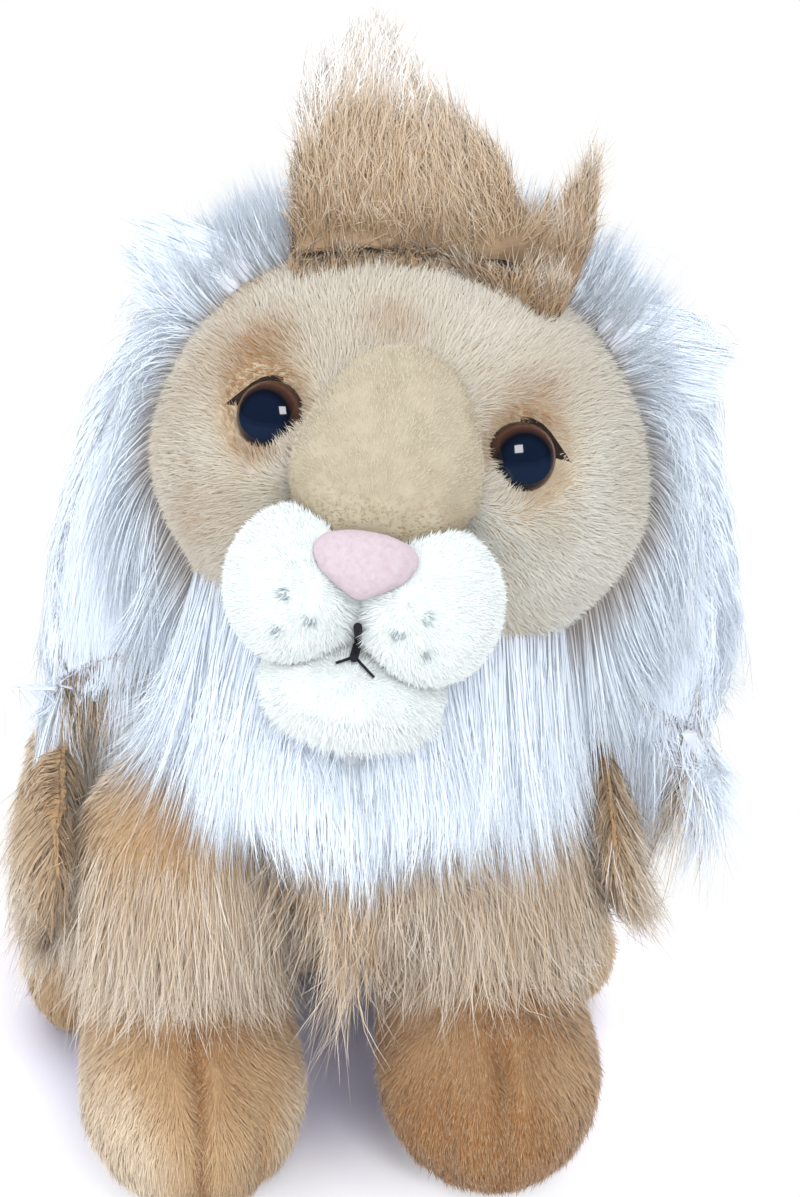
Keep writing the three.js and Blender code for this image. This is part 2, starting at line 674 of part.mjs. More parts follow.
// Back mane: the hood over the back of the head and the nape.
function backMane() {
  const stations = [
    [0, headDepth * 0.04, headHeight * 0.55, headWidth * 0.34, backManeThickness * 0.3],
    [0, headDepth * 0.4, headHeight * 0.42, headWidth * 0.48, backManeThickness * 0.46],
    [0, headDepth * 0.56, headHeight * 0.06, headWidth * 0.58, backManeThickness * 0.55],
    [0, headDepth * 0.66, -headHeight * 0.3, headWidth * 0.62, backManeThickness * 0.62],
    [0, headDepth * 0.76, -headHeight * 0.66, headWidth * 0.54, backManeThickness * 0.55],
  ];
  const form = stuffedForm(stations, { rings: 12, around: 14, capShares: [0.25, 0.25] });
  const neighbours = [crownForm(seamGap)];
  for (const side of [1, -1]) neighbours.push(sideManeForm(side, seamGap), earForm(side, seamGap));
  return cut(form, bodyBelow(), headForm(seamGap), ...neighbours);
}

// Throat mane: white pile under the chin, over the chest.
function throatMane() {
  const stations = [
    [0, -headDepth * 0.16, -headHeight * 0.46, throatWidth * 0.44, throatThickness * 0.5],
    [0, -headDepth * 0.4, -headHeight * 0.52, throatWidth * 0.52, throatThickness * 0.6],
    [0, -headDepth * 0.56, -headHeight * 0.68, throatWidth * 0.42, throatThickness * 0.5],
  ];
  const form = stuffedForm(stations, { rings: 10, around: 12, capShares: [0.3, 0.45] });
  return cut(form, bodyBelow(), headForm(seamGap), chinForm(seamGap), sideManeForm(1, seamGap),
    sideManeForm(-1, seamGap));
}

function piece(name, geometry, [color, roughness]) {
  geometry.computeVertexNormals();
  const mesh = new THREE.Mesh(geometry, new THREE.MeshStandardMaterial({ color, roughness, metalness: 0 }));
  mesh.name = name;
  return mesh;
}

const lion = new THREE.Group();
lion.add(piece('torso', torso(), tanPlush));
lion.add(piece('pellet_pouch', pouchForm(0), pouchCloth));
lion.add(piece('chest_bib', chestBib(), maneTan));
lion.add(piece('tail', tail(), tanPlush));
lion.add(piece('tail_tuft', tailTuft(), maneTan));

const face = new THREE.Group();
face.position.copy(headPose.position);
face.rotation.copy(headPose.rotation);
face.add(piece('head', head(), creamPlush));
face.add(piece('nose_bridge', noseBridge(), olivePile));
face.add(piece('chin', chin(), whitePile));
face.add(piece('nose', nose(), noseFabric));
face.add(piece('mane_crown', crown(), maneTan));
face.add(piece('mane_back', backMane(), maneWhite));
face.add(piece('mane_throat', throatMane(), maneWhite));
lion.add(face);

for (const [name, side] of Object.entries(sides)) {
  lion.add(piece(`front_leg_${name}`, frontLeg(side), tanPlush));
  lion.add(piece(`hind_leg_${name}`, hindLeg(side), tanPlush));
  lion.add(piece(`shoulder_mane_${name}`, mantle(side), maneTan));
  face.add(piece(`muzzle_${name}`, muzzle(side), whitePile));
  face.add(piece(`eye_${name}`, eye(side), eyePlastic));
  face.add(piece(`eye_liner_${name}`, eyeLiner(side), linerFelt));
  face.add(piece(`eye_washer_${name}`, eyeWasher(side), washerPlastic));
  face.add(piece(`ear_${name}`, ear(side), tanPlush));
  face.add(piece(`mane_${name}`, sideMane(side), maneWhite));
}

// The origin is on the floor, under the middle of the whole.
const box = new THREE.Box3().setFromObject(lion, true);
const middle = box.getCenter(new THREE.Vector3());
lion.position.set(-middle.x, -middle.y, -box.min.z);

export default lion;
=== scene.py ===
import math
import bmesh
import bpy
import numpy as np
from mathutils import Euler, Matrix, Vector
from mathutils.bvhtree import BVHTree


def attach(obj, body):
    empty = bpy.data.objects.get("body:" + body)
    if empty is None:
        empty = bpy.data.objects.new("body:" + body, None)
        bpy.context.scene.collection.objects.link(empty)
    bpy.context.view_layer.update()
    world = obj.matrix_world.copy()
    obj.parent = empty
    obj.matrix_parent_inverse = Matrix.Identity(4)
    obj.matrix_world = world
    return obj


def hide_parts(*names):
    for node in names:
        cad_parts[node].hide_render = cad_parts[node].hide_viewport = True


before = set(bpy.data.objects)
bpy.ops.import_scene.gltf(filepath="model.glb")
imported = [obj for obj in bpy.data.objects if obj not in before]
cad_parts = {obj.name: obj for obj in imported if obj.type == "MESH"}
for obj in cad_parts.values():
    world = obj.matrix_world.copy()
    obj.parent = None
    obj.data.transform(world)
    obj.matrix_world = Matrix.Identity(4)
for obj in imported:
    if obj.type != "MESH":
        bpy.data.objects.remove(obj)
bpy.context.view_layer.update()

MM = 0.001
FLOOR_GAP = 0.3 * MM
UP = np.array([0.0, 0.0, 1.0])
FRONT = np.array([0.0, -1.0, 0.0])

# The head's own frame, as in the CAD: the face looks along -Y, and its origin is the head's middle.
HEAD_SIZE = np.array([107.0, 90.0, 99.0])
HEAD_PLACE = np.array([17.0, -45.0, 150.0])
HEAD_RAISE, HEAD_TILT, HEAD_ROUND = 12, 8, -13
PACK_SHIFT = np.array([-12.223, 7.628, 0.0])
EYE_ACROSS, EYE_UP, EYE_RADIUS = 25.5, 11.4, 7.5

HEAD_HALF = HEAD_SIZE / 2
HEAD_AT = (HEAD_PLACE + PACK_SHIFT) * MM
HEAD_TURN = np.array(Euler((math.radians(-HEAD_RAISE), math.radians(HEAD_TILT), math.radians(HEAD_ROUND)),
                           "XYZ").to_matrix())


def to_head(points):
    return (points - HEAD_AT) @ HEAD_TURN


def from_head(points):
    return np.asarray(points) @ HEAD_TURN.T + HEAD_AT


def along_head(vectors):
    return np.asarray(vectors, float) @ HEAD_TURN.T


# ---------------------------------------------------------------- fabrics
# The fibres of every plush piece share one colour effect: a tone across the pile that runs from dark
# to light, another colour at the root and a last one at the tip. The root colour, darker on most piles,
# is partly painted shade deep in the pile.
def srgb(text):
    parts = [int(text[i:i + 2], 16) / 255 for i in (0, 2, 4)]
    return [p / 12.92 if p <= 0.04045 else ((p + 0.055) / 1.055) ** 2.4 for p in parts] + [1.0]


def fibre_effect():
    group = bpy.data.node_groups.new("fibre_colour", "ShaderNodeTree")
    face = group.interface
    for name in ("Root", "Dark", "Mid", "Light", "Tip"):
        face.new_socket(name, in_out="INPUT", socket_type="NodeSocketColor")
    for name in ("Root End", "Tip Start"):
        face.new_socket(name, in_out="INPUT", socket_type="NodeSocketFloat")
    face.new_socket("Color", in_out="OUTPUT", socket_type="NodeSocketColor")
    nodes, links = group.nodes, group.links
    given = nodes.new("NodeGroupInput")
    result = nodes.new("NodeGroupOutput")
    place = nodes.new("ShaderNodeUVMap")
    place.uv_map = "OFBake"
    split = nodes.new("ShaderNodeSeparateXYZ")
    links.new(place.outputs["UV"], split.inputs[0])

    def share(value, low, high):
        step = nodes.new("ShaderNodeMapRange")
        step.interpolation_type = "SMOOTHSTEP"
        for socket, source in (("Value", value), ("From Min", low), ("From Max", high)):
            if isinstance(source, float):
                step.inputs[socket].default_value = source
            else:
                links.new(source, step.inputs[socket])
        return step.outputs["Result"]

    def mix(factor, first, second):
        node = nodes.new("ShaderNodeMix")
        node.data_type = "RGBA"
        links.new(factor, node.inputs["Factor"])
        links.new(first, node.inputs[6])
        links.new(second, node.inputs[7])
        return node.outputs[2]

    tone, height = split.outputs["X"], split.outputs["Y"]
    lower = mix(share(tone, 0.0, 0.5), given.outputs["Dark"], given.outputs["Mid"])
    body = mix(share(tone, 0.5, 1.0), lower, given.outputs["Light"])
    rooted = mix(share(height, 0.0, given.outputs["Root End"]), given.outputs["Root"], body)
    tipped = mix(share(height, given.outputs["Tip Start"], 1.0), rooted, given.outputs["Tip"])
    links.new(tipped, result.inputs["Color"])
    return group


FIBRE = fibre_effect()


def shader(name, roughness, sheen=0.0, specular=0.3):
    material = bpy.data.materials.new(name)
    material.use_nodes = True
    surface = material.node_tree.nodes["Principled BSDF"]
    surface.inputs["Roughness"].default_value = roughness
    surface.inputs["Specular IOR Level"].default_value = specular
    surface.inputs["Sheen Weight"].default_value = sheen
    return material, material.node_tree, surface


def fibres(name, root, dark, mid, light, tip, root_end=0.5, tip_start=0.7, sheen=0.25, glow=0.0):
    """glow stands for the light that pale fibres pass on to each other, deep in the pile."""
    material, tree, surface = shader(name, roughness=0.75, sheen=sheen, specular=0.2)
    effect = tree.nodes.new("ShaderNodeGroup")
    effect.node_tree = FIBRE
    for socket, text in (("Root", root), ("Dark", dark), ("Mid", mid), ("Light", light), ("Tip", tip)):
        effect.inputs[socket].default_value = srgb(text)
    effect.inputs["Root End"].default_value = root_end
    effect.inputs["Tip Start"].default_value = tip_start
    tree.links.new(effect.outputs["Color"], surface.inputs["Base Color"])
    if glow:
        surface.inputs["Emission Color"].default_value = srgb(light)
        surface.inputs["Emission Strength"].default_value = glow
    return material


def cloth(name, dark, light, scale=160.0):
    """Backing fabric under the pile: a knit's fine mottling in two close tones."""
    material, tree, surface = shader(name, roughness=0.95)
    noise = tree.nodes.new("ShaderNodeTexNoise")
    noise.inputs["Scale"].default_value = scale
    place = tree.nodes.new("ShaderNodeTexCoord")
    tree.links.new(place.outputs["Object"], noise.inputs["Vector"])
    ramp = tree.nodes.new("ShaderNodeValToRGB")
    ramp.color_ramp.elements[0].position, ramp.color_ramp.elements[0].color = 0.35, srgb(dark)
    ramp.color_ramp.elements[1].position, ramp.color_ramp.elements[1].color = 0.65, srgb(light)
    tree.links.new(noise.outputs["Fac"], ramp.inputs["Fac"])
    tree.links.new(ramp.outputs["Color"], surface.inputs["Base Color"])
    return material


TAN = fibres("tan_pile", root="ab8d6b", dark="98693c", mid="bb9a73", light="d9c6ad", tip="d3bea0", sheen=0.45)
FACE = fibres("face_pile", root="ad9d87", dark="9c7750", mid="c3bbac", light="d5d3cc", tip="c9c3b8",
              root_end=0.3, tip_start=0.75)
OLIVE = fibres("olive_pile", root="a59b86", dark="9a8264", mid="b6ab94", light="c4beac", tip="bdb5a0")
WHITE = fibres("white_pile", root="c9cecd", dark="4d5f70", mid="ccd2d1", light="d8dcdb", tip="d6dad9",
               tip_start=0.93, sheen=0.0, glow=0.16)
MANE_WHITE = fibres("mane_white", root="c6cbd4", dark="ccd5e0", mid="dae2ec", light="e4ebf4", tip="e6edf6",
                    root_end=0.25, tip_start=0.8, glow=0.12)
# Its brown-grey roots are partly the pile's own colour and partly painted shade in the seam behind the face.
MANE_RIM = fibres("mane_rim", root="a8988a", dark="ccd3dc", mid="dee6ef", light="e8eff7", tip="eaf1f8",
                  root_end=0.45, tip_start=0.8, glow=0.1)
MANE_TAN = fibres("mane_tan", root="8d755c", dark="957a5c", mid="bda385", light="d8c8b2", tip="e2d7c7",
                  root_end=0.35, tip_start=0.55)
WISPS = fibres("pale_wisps", root="8d755c", dark="a88a68", mid="cdb8a0", light="e3d8cc", tip="e6ddd2",
               root_end=0.25, tip_start=0.6)
CROWN_PALE = fibres("crown_pale", root="b09a80", dark="cfc4b6", mid="e6e0da", light="f0eeec", tip="f4f3f3",
                    root_end=0.3, tip_start=0.5, glow=0.08)
TAN_CLOTH = cloth("tan_backing", "9c7d5b", "ae8e69")
FACE_CLOTH = cloth("face_backing", "a8957a", "b8a88e")
OLIVE_CLOTH = cloth("olive_backing", "9d937e", "aba18c")
WHITE_CLOTH = cloth("white_backing", "c4cac9", "d2d7d6")
MANE_CLOTH = cloth("mane_backing", "c6cad2", "d8dce4")
CROWN_CLOTH = cloth("crown_backing", "8a7259", "9a8268")


# ---------------------------------------------------------------- fibres as real geometry
def unit(vectors):
    return vectors / np.maximum(np.linalg.norm(vectors, axis=-1, keepdims=True), 1e-12)


def flat_to(vectors, normals):
    return vectors - normals * (vectors * normals).sum(-1, keepdims=True)


class Wobble:
    """A smooth random field of vectors, the same on each run."""

    def __init__(self, seed, size, waves=7):
        draw = np.random.default_rng(seed)
        self.wave = draw.normal(size=(3, waves, 3)) / size
        self.start = draw.uniform(0, 2 * math.pi, (3, waves))

    def __call__(self, points):
        parts = [np.sin(points @ self.wave[i].T + self.start[i]).mean(1) for i in range(3)]
        return np.stack(parts, -1) * 1.6


def new_mesh(name, points, sizes, corners, uv=None, normals=None):
    mesh = bpy.data.meshes.new(name)
    mesh.vertices.add(len(points))
    mesh.vertices.foreach_set("co", np.ascontiguousarray(points, np.float32).ravel())
    mesh.loops.add(len(corners))
    mesh.loops.foreach_set("vertex_index", np.asarray(corners, np.int32))
    starts = np.concatenate([[0], np.cumsum(sizes)[:-1]])
    mesh.polygons.add(len(sizes))
    mesh.polygons.foreach_set("loop_start", np.asarray(starts, np.int32))
    if uv is not None:
        layer = mesh.uv_layers.new(name="OFBake")
        layer.uv.foreach_set("vector", np.ascontiguousarray(uv[corners], np.float32).ravel())
    mesh.update(calc_edges=True)
    mesh.validate()
    if normals is not None:
        mesh.polygons.foreach_set("use_smooth", np.ones(len(sizes), bool))
        mesh.normals_split_custom_set_from_vertices(normals.tolist())
    return mesh


def place(name, mesh, body, slot, material):
    piece = bpy.data.objects.new(name, mesh)
    bpy.context.scene.collection.objects.link(piece)
    mesh.materials.clear()
    mesh.materials.append(material)
    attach(piece, body)
    return piece


def fibre_mesh(name, curves, width, tone, out, draw, flatness=0.0):
    """One thin blade for each curve. It is widest near the root and ends in a point.

    Its shading normals lean towards the outside of the pile, so the fibres shade as one soft surface.
    """
    count, steps = curves.shape[0], curves.shape[1] - 1
    share = np.linspace(0, 1, steps + 1)
    taper = (1 - share ** 2.2) * 0.5
    ahead = unit(np.gradient(curves, axis=1))
    spin = unit(draw.normal(size=(count, 3)))
    across = unit(spin * (1 - flatness) + np.cross(ahead[:, 0], out) * flatness)
    across = unit(flat_to(across[:, None, :].repeat(steps + 1, 1), ahead))
    facing = np.cross(across, ahead)
    turned = np.where((facing * out[:, None]).sum(-1, keepdims=True) < 0, -1.0, 1.0)
    across, facing = across * turned, facing * turned
    lean = unit(facing * 0.15 + unit(flat_to(np.broadcast_to(out[:, None], ahead.shape), ahead)) * 0.45
                + out[:, None] * 0.5)
    half = (np.asarray(width)[:, None] * taper[None, :steps])[..., None] * across[:, :steps]
    left, right = curves[:, :steps] - half, curves[:, :steps] + half
    points = np.concatenate([np.stack([left, right], 2).reshape(count, -1, 3), curves[:, steps:]], 1)
    points[..., 2] = np.maximum(points[..., 2], FLOOR_GAP)
    normals = np.concatenate([lean[:, :steps].repeat(2, 1), lean[:, steps:]], 1)
    each = 2 * steps + 1
    base = (np.arange(count) * each)[:, None]
    quads = np.array([[2 * k, 2 * k + 1, 2 * k + 3, 2 * k + 2] for k in range(steps - 1)]).reshape(1, -1)
    last = np.array([[2 * steps - 2, 2 * steps - 1, 2 * steps]])
    corners = np.concatenate([base + quads, base + last], 1).ravel()
    sizes = np.tile([4] * (steps - 1) + [3], count)
    u = np.repeat(np.clip(tone, 0.03, 0.97)[:, None], each, 1)
    u[:, 0:-1:2] -= 0.015
    u[:, 1::2] += 0.015
    v = np.concatenate([np.repeat(share[:steps], 2), [1.0]])[None].repeat(count, 0)
    uv = np.stack([u, v * 0.96 + 0.02], -1).reshape(-1, 2)
    return new_mesh(name, points.reshape(-1, 3), sizes, corners, uv, normals.reshape(-1, 3))


def surface_of(mesh):
    """The mesh as triangles, with a normal at each corner."""
    mesh.calc_loop_triangles()
    corners = np.zeros(len(mesh.loop_triangles) * 3, np.int32)
    mesh.loop_triangles.foreach_get("vertices", corners)
    points = np.zeros(len(mesh.vertices) * 3)
    mesh.vertices.foreach_get("co", points)
    normals = np.zeros(len(mesh.vertices) * 3)
    mesh.vertices.foreach_get("normal", normals)
    return points.reshape(-1, 3), normals.reshape(-1, 3), corners.reshape(-1, 3)


def scatter(surface, per_mm2, draw, keep=None):
    """Random places on a surface, about per_mm2 of them to a square millimetre, and their normals."""
    points, normals, faces = surface
    a, b, c = (points[faces[:, k]] for k in range(3))
    areas = np.linalg.norm(np.cross(b - a, c - a), axis=1) / 2
    count = int(areas.sum() / MM ** 2 * per_mm2)
    pick = draw.choice(len(faces), count, p=areas / areas.sum())
    s, t = draw.random(count), draw.random(count)
    over = s + t > 1
    s[over], t[over] = 1 - s[over], 1 - t[over]
    weights = np.stack([1 - s - t, s, t], -1)[..., None]
    at = (points[faces[pick]] * weights).sum(1)
    out = unit((normals[faces[pick]] * weights).sum(1))
    if keep is not None:
        kept = draw.random(count) < keep(at, out)
        at, out = at[kept], out[kept]
    return at, out


def short_curves(at, out, flow, length, lift, draw, sink=0.0005, bend=0.25, jitter=0.18, steps=2):
    """Short pile: each fibre leans along the flow, a little scattered, and bends over at its tip."""
    lean = unit(flat_to(flow, out)) * np.sqrt(1 - lift ** 2)
    first = unit(lean + out * lift + draw.normal(size=at.shape) * jitter)
    over = unit(first - out * bend)
    size = (np.asarray(length) * (0.75 + 0.5 * draw.random(len(at))))[:, None]
    start = at - out * sink
    curves = [start]
    for k in range(1, steps + 1):
        share = (k - 0.5) / steps
        curves.append(curves[-1] + unit(first * (1 - share) + over * share) * size / steps)
    return np.stack(curves, 1)


def thickness(points, normals, faces):
    """How deep the solid is under each of its vertices."""
    tree = BVHTree.FromPolygons(points.tolist(), faces.tolist())
    depths = []
    for at, out in zip(points, normals):
        hit, _, _, far = tree.ray_cast(Vector(at - out * 0.2 * MM), Vector(-out))
        depths.append(0.0 if hit is None else far)
    return np.array(depths)


def skin_of(*nodes, voxel=1.6, smooth=6, inward=0.0, cutter=None):
    """A soft copy of CAD solids: their edges rounded as stuffing rounds them, set inward under the pile."""
    joined = bmesh.new()
    for node in nodes:
        joined.from_mesh(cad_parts[node].data)
    shape = bpy.data.meshes.new("skin")
    joined.to_mesh(shape)
    joined.free()
    piece = bpy.data.objects.new("skin", shape)
    bpy.context.scene.collection.objects.link(piece)
    if cutter is not None:
        cut = piece.modifiers.new("cut", "BOOLEAN")
        cut.operation, cut.object = "DIFFERENCE", cutter
    remesh = piece.modifiers.new("remesh", "REMESH")
    remesh.mode = "VOXEL"
    remesh.voxel_size = voxel * MM
    even = piece.modifiers.new("smooth", "SMOOTH")
    even.factor, even.iterations = 0.5, smooth
    shape = bpy.data.meshes.new_from_object(piece.evaluated_get(bpy.context.evaluated_depsgraph_get()))
    bpy.data.objects.remove(piece)
    points, normals, faces = surface_of(shape)
    depth = np.minimum(inward * MM, 0.35 * thickness(points, normals, faces)) if inward > 1 else inward * MM
    shape.vertices.foreach_set("co", (points - normals * np.reshape(depth, (-1, 1))).ravel())
    shape.update()
    return shape


def pile(name, surface, body, slot, material, per_mm2, length, flow, tone, seed, lift=0.45, width=0.4,
         keep=None, bend=0.25, jitter=0.18):
    """The short or medium pile of one piece. flow, tone and length are functions of place and normal."""
    draw = np.random.default_rng(seed)
    at, out = scatter(surface, per_mm2, draw, keep)
    size = length(at, out) * MM
    curves = short_curves(at, out, flow(at, out), size, lift, draw, bend=bend, jitter=jitter)
    shade = tone(at, out) + draw.normal(size=len(at)) * 0.05
    blade = width * MM * (0.7 + 0.6 * draw.random(len(at)))
    mesh = fibre_mesh(name, curves, blade, shade, out, draw, flatness=0.6)
    return place(name, mesh, body, slot, material)


def down(at, out):
    return flat_to(np.broadcast_to(-UP, at.shape), out) + 1e-6


# ---------------------------------------------------------------- torso, legs, tail
# The stuffed body and limbs are cut from medium pile plush, sewn inside out and turned. The pile runs
# from the shoulders down to the paws, and a stitch draws in the toes of each front paw.
TOE_CREASE, TOE_SIDE = 2.4, 13.0


def paw_middle(node):
    return middle_of(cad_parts[node])[0]


def middle_of(piece):
    corners = np.array([piece.matrix_world @ Vector(c) for c in piece.bound_box]) / MM
    return (corners.min(0) + corners.max(0)) / 2


def crease(at, middle, inner):
    """How near a place is to a toe stitch of a front paw: 1 on the stitch, 0 off it."""
    x, y, z = (at / MM).T
    on_paw = np.clip((-62 - y) / 8, 0, 1) * np.clip((44 - z) / 8, 0, 1) * np.clip((z - 5) / 5, 0, 1)
    strong = np.exp(-((x - middle) / TOE_CREASE) ** 2)
    weak = np.exp(-((x - middle - inner * TOE_SIDE) / TOE_CREASE) ** 2) * np.clip((30 - z) / 8, 0, 1)
    return on_paw * np.clip(strong + 0.7 * weak, 0, 1)


BODY_PILES = {
    "torso": ("body", 3.0),
    "front_leg_left": ("left_front_leg", 10.0),
    "front_leg_right": ("right_front_leg", 10.0),
    "hind_leg_left": ("left_hind_leg", 3.0),
    "hind_leg_right": ("right_hind_leg", 3.0),
    "tail": ("tail_group", 3.0),
}
INNER = {"front_leg_left": -1, "front_leg_right": 1}
patches = Wobble(3, 14 * MM)
whorl = Wobble(4, 22 * MM)
clouds = Wobble(5, 7 * MM)
for number, (node, (body, density)) in enumerate(BODY_PILES.items()):
    shape = skin_of(node, inward=0.6)
    if node in INNER:
        points, normals, _ = surface_of(shape)
        drawn_in = crease(points, paw_middle(node), INNER[node])[:, None]
        shape.vertices.foreach_set("co", (points - normals * drawn_in * 2.2 * MM).ravel())
        shape.update()
    skin = place(node + "_skin", shape, body, "tan_plush", TAN_CLOTH)
    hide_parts(node)

    def body_tone(at, out, node=node):
        # Surfaces that face up are painted lighter, as light from above falls on them; the tone also rises higher up,
        # beside random patches.
        tone = 0.5 + patches(at)[:, 0] * 0.25 + out[:, 2] * 0.12 + np.clip((at[:, 2] / MM - 40) / 60, 0, 0.4)
        if node in INNER:
            # On each front paw the middle is darker, painted shade over the drawn-in toes, and darker still along the
            # toe stitches, painted shade in their creases. The lower part of the right paw is lighter, that of the left
            # a little darker.
            shade = np.exp(-((at[:, 0] / MM - paw_middle(node)) / 11) ** 2)
            low = np.clip((42 - at[:, 2] / MM) / 20, 0, 1)
            tone += 0.16 - 0.34 * shade - 0.4 * crease(at, paw_middle(node), INNER[node])
            tone += low * (0.72 if node == "front_leg_right" else -0.12) - 0.46
            tone += 0.12 * clouds(at)[:, 1]
        return tone

    pile(node + "_pile", surface_of(skin.data), body, "tan_plush", TAN, density,
         length=lambda at, out: np.full(len(at), 4.2),
         flow=lambda at, out: down(at, out) + whorl(at) * 0.4,
         tone=body_tone, seed=100 + number, width=0.24 if node in INNER else 0.36, lift=0.34, jitter=0.14)


# ---------------------------------------------------------------- head
# The head is one stuffed ball of medium pile with sunken eye seats, full cheeks and a brow. Its pile
# fans out from the nose, cream over the brow and brown round the eyes, where painted shade in the eye
# seats and under the brow darkens it further.
def bump(x, z, at_x, at_z, wide, high):
    return np.exp(-((x - at_x) / wide) ** 2 - ((z - at_z) / high) ** 2)


def in_head(at):
    return to_head(at) / MM


def face_relief(x, z):
    """How far the skin stands out of the plain ball, in mm, at a place seen from the front."""
    side = np.abs(x)
    gap = np.hypot(side - EYE_ACROSS, z - EYE_UP)
    seat = 1.8 * np.exp(-((gap - 13.0) / 4) ** 2) - 1.5 * np.exp(-(gap / 7) ** 2)
    brow = bump(side, z, 19, 28, 12, 7) * 2.2
    cheek = bump(side, z, 30, -7, 12, 12) * 3.6
    lid = bump(side, z, 17.0, 4.0, 5, 5) * 3.0
    fold = bump(side, z, 40, -20, 5, 9) * -1.2
    return seat + brow + cheek + lid + fold


def jaw_share(z):
    """The ball narrows towards the jaw: its width's share at a height."""
    drop = np.clip(-z / HEAD_HALF[2], 0, 1)
    return 1 - 0.2 * drop * drop * (3 - 2 * drop)


def head_skin(inward=0.6):
    ball = bpy.data.meshes.new("ball")
    shape = bmesh.new()
    bmesh.ops.create_uvsphere(shape, u_segments=150, v_segments=110, radius=1)
    shape.to_mesh(ball)
    shape.free()
    points = np.zeros(len(ball.vertices) * 3)
    ball.vertices.foreach_get("co", points)
    round_ = points.reshape(-1, 3)
    local = round_ * (HEAD_HALF - inward)
    local[:, 0] *= jaw_share(local[:, 2])
    front = np.clip(-round_[:, 1] * 2.2, 0, 1)
    local += round_ * (face_relief(local[:, 0], local[:, 2]) * front)[:, None]
    ball.vertices.foreach_set("co", from_head(local * MM).ravel())
    ball.update()
    return ball


head = place("head_skin", head_skin(), "head_group", "cream_plush", FACE_CLOTH)
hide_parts("head")
face_surface = surface_of(head.data)
face_patches = Wobble(11, 9 * MM)


def lid_share(at):
    """1 on the cheek fold at the lower inner side of each eye, whose pile laps over the eye."""
    local = in_head(at)
    side = np.abs(local[:, 0]) - EYE_ACROSS
    up = local[:, 2] - EYE_UP
    gap = np.hypot(side, up)
    towards = (-side * 0.75 - up * 0.66) / np.maximum(gap, 1e-6)
    return np.clip(towards * 1.6 - 0.3, 0, 1) * np.clip((13 - gap) / 4, 0, 1)


def eye_gap(at):
    local = in_head(at)
    side = np.abs(local[:, 0]) - EYE_ACROSS
    up = local[:, 2] - EYE_UP
    return np.stack([-side * np.sign(local[:, 0]), np.zeros(len(at)), -up], -1), np.hypot(side, up)


def face_keep(at, out):
    local = in_head(at)
    gap = np.hypot(np.abs(local[:, 0]) - EYE_ACROSS, local[:, 2] - EYE_UP)
    eye = gap < EYE_RADIUS + 0.1 - 1.4 * lid_share(at)
    return np.where(eye | (local[:, 1] > 8), 0.0, 1.0)


def face_flow(at, out):
    local = in_head(at)
    x, z = local[:, 0], local[:, 2]
    flow = unit(np.stack([x * 1.0, np.full_like(x, 14), z + 6 - np.abs(x) * 0.35], -1))
    to_eye, gap = eye_gap(at)
    near = (np.clip((EYE_RADIUS + 4.5 - gap) / 2, 0, 1) * (0.45 + 1.0 * lid_share(at)))[:, None]
    return along_head(flow * (1 - near * 0.5) + unit(to_eye) * near) + face_patches(at) * 0.35


def face_length(at, out):
    _, gap = eye_gap(at)
    return 2.2 + 1.5 * np.clip((gap - EYE_RADIUS - 1) / 6, 0, 1) + 2.6 * lid_share(at)


def face_tone(at, out):
    local = in_head(at)
    x, z = local[:, 0], local[:, 2]
    side = np.abs(x)
    # The face is painted lighter towards its right side, as the light falls on it.
    tone = np.full(len(at), 0.54) + 0.14 * np.clip(x / 40, -1, 1)
    tone += 0.3 * bump(side, z, 17, -2, 8, 9) + 0.2 * bump(x, z, 38, -6, 12, 14)
    # Dark patches over the eyes: partly the pile's brown, partly painted shade under the brow.
    tone -= 0.42 * bump(x, z, 26, 25, 10, 8) + 0.36 * bump(x, z, -30, 23, 11, 9)
    # The first mark, over the middle of the brow, is a painted shadow of the crown.
    tone -= 0.26 * bump(x, z, -6, 34, 10, 7) + 0.24 * bump(x, z, 35, -1, 6, 10)
    tone -= 0.14 * bump(x, z, -36, -8, 9, 10) - 0.1 * bump(x, z, 11, 39, 12, 8)
    # A dark ring round each eye: partly the pile's brown, partly painted shade in the sunken eye seat.
    tone -= 0.3 * np.exp(-((np.hypot(side - EYE_ACROSS, z - EYE_UP) - 9) / 2.2) ** 2)
    return tone + face_patches(at)[:, 0] * 0.12 + clouds(at)[:, 0] * 0.1


for number, half in enumerate((1, -1)):
    pile(f"head_{'left' if half > 0 else 'right'}_pile", face_surface, "head_group", "cream_plush", FACE, 9.0,
         face_length, face_flow, face_tone, seed=200 + number, lift=0.5, width=0.23, jitter=0.2,
         keep=lambda at, out, half=half: face_keep(at, out) * (in_head(at)[:, 0] * half > 0))

# ---------------------------------------------------------------- nose bridge, muzzle, chin, nose
# Short pile panels sewn onto the face: a khaki arch down the nose, two white lobes with three dyed
# whisker dots each, a white chin, and a pink padded nose where they meet.
MUZZLE_MIDDLE = np.array([14.0, -18.3])
WHISKER_DOTS = ((-5.3, -4.0), (-0.5, 0.0), (0.2, -7.5))
DOT_SIZE = 1.35


def panel_tone(node):
    def bridge(at, out):
        x, z = in_head(at)[:, [0, 2]].T
        # A painted highlight across the middle of the arch; the tone is darker towards its lower end.
        lower = np.clip((8 - z) / 16, 0, 1)
        return 0.5 + 0.2 * bump(x, z, 0, 16, 12, 12) - 0.6 * lower + clouds(at)[:, 1] * 0.1

    def lobe(at, out):
        x, z = in_head(at)[:, [0, 2]].T
        dots = sum(bump(np.abs(x) - MUZZLE_MIDDLE[0], z - MUZZLE_MIDDLE[1], across, up, DOT_SIZE, DOT_SIZE)
                   for across, up in WHISKER_DOTS)
        return 0.72 + face_patches(at)[:, 1] * 0.08 - 0.6 * np.clip(dots * 1.6, 0, 1)

    def plain(at, out):
        return 0.72 + face_patches(at)[:, 1] * 0.1

    return bridge if node == "nose_bridge" else lobe if node.startswith("muzzle") else plain


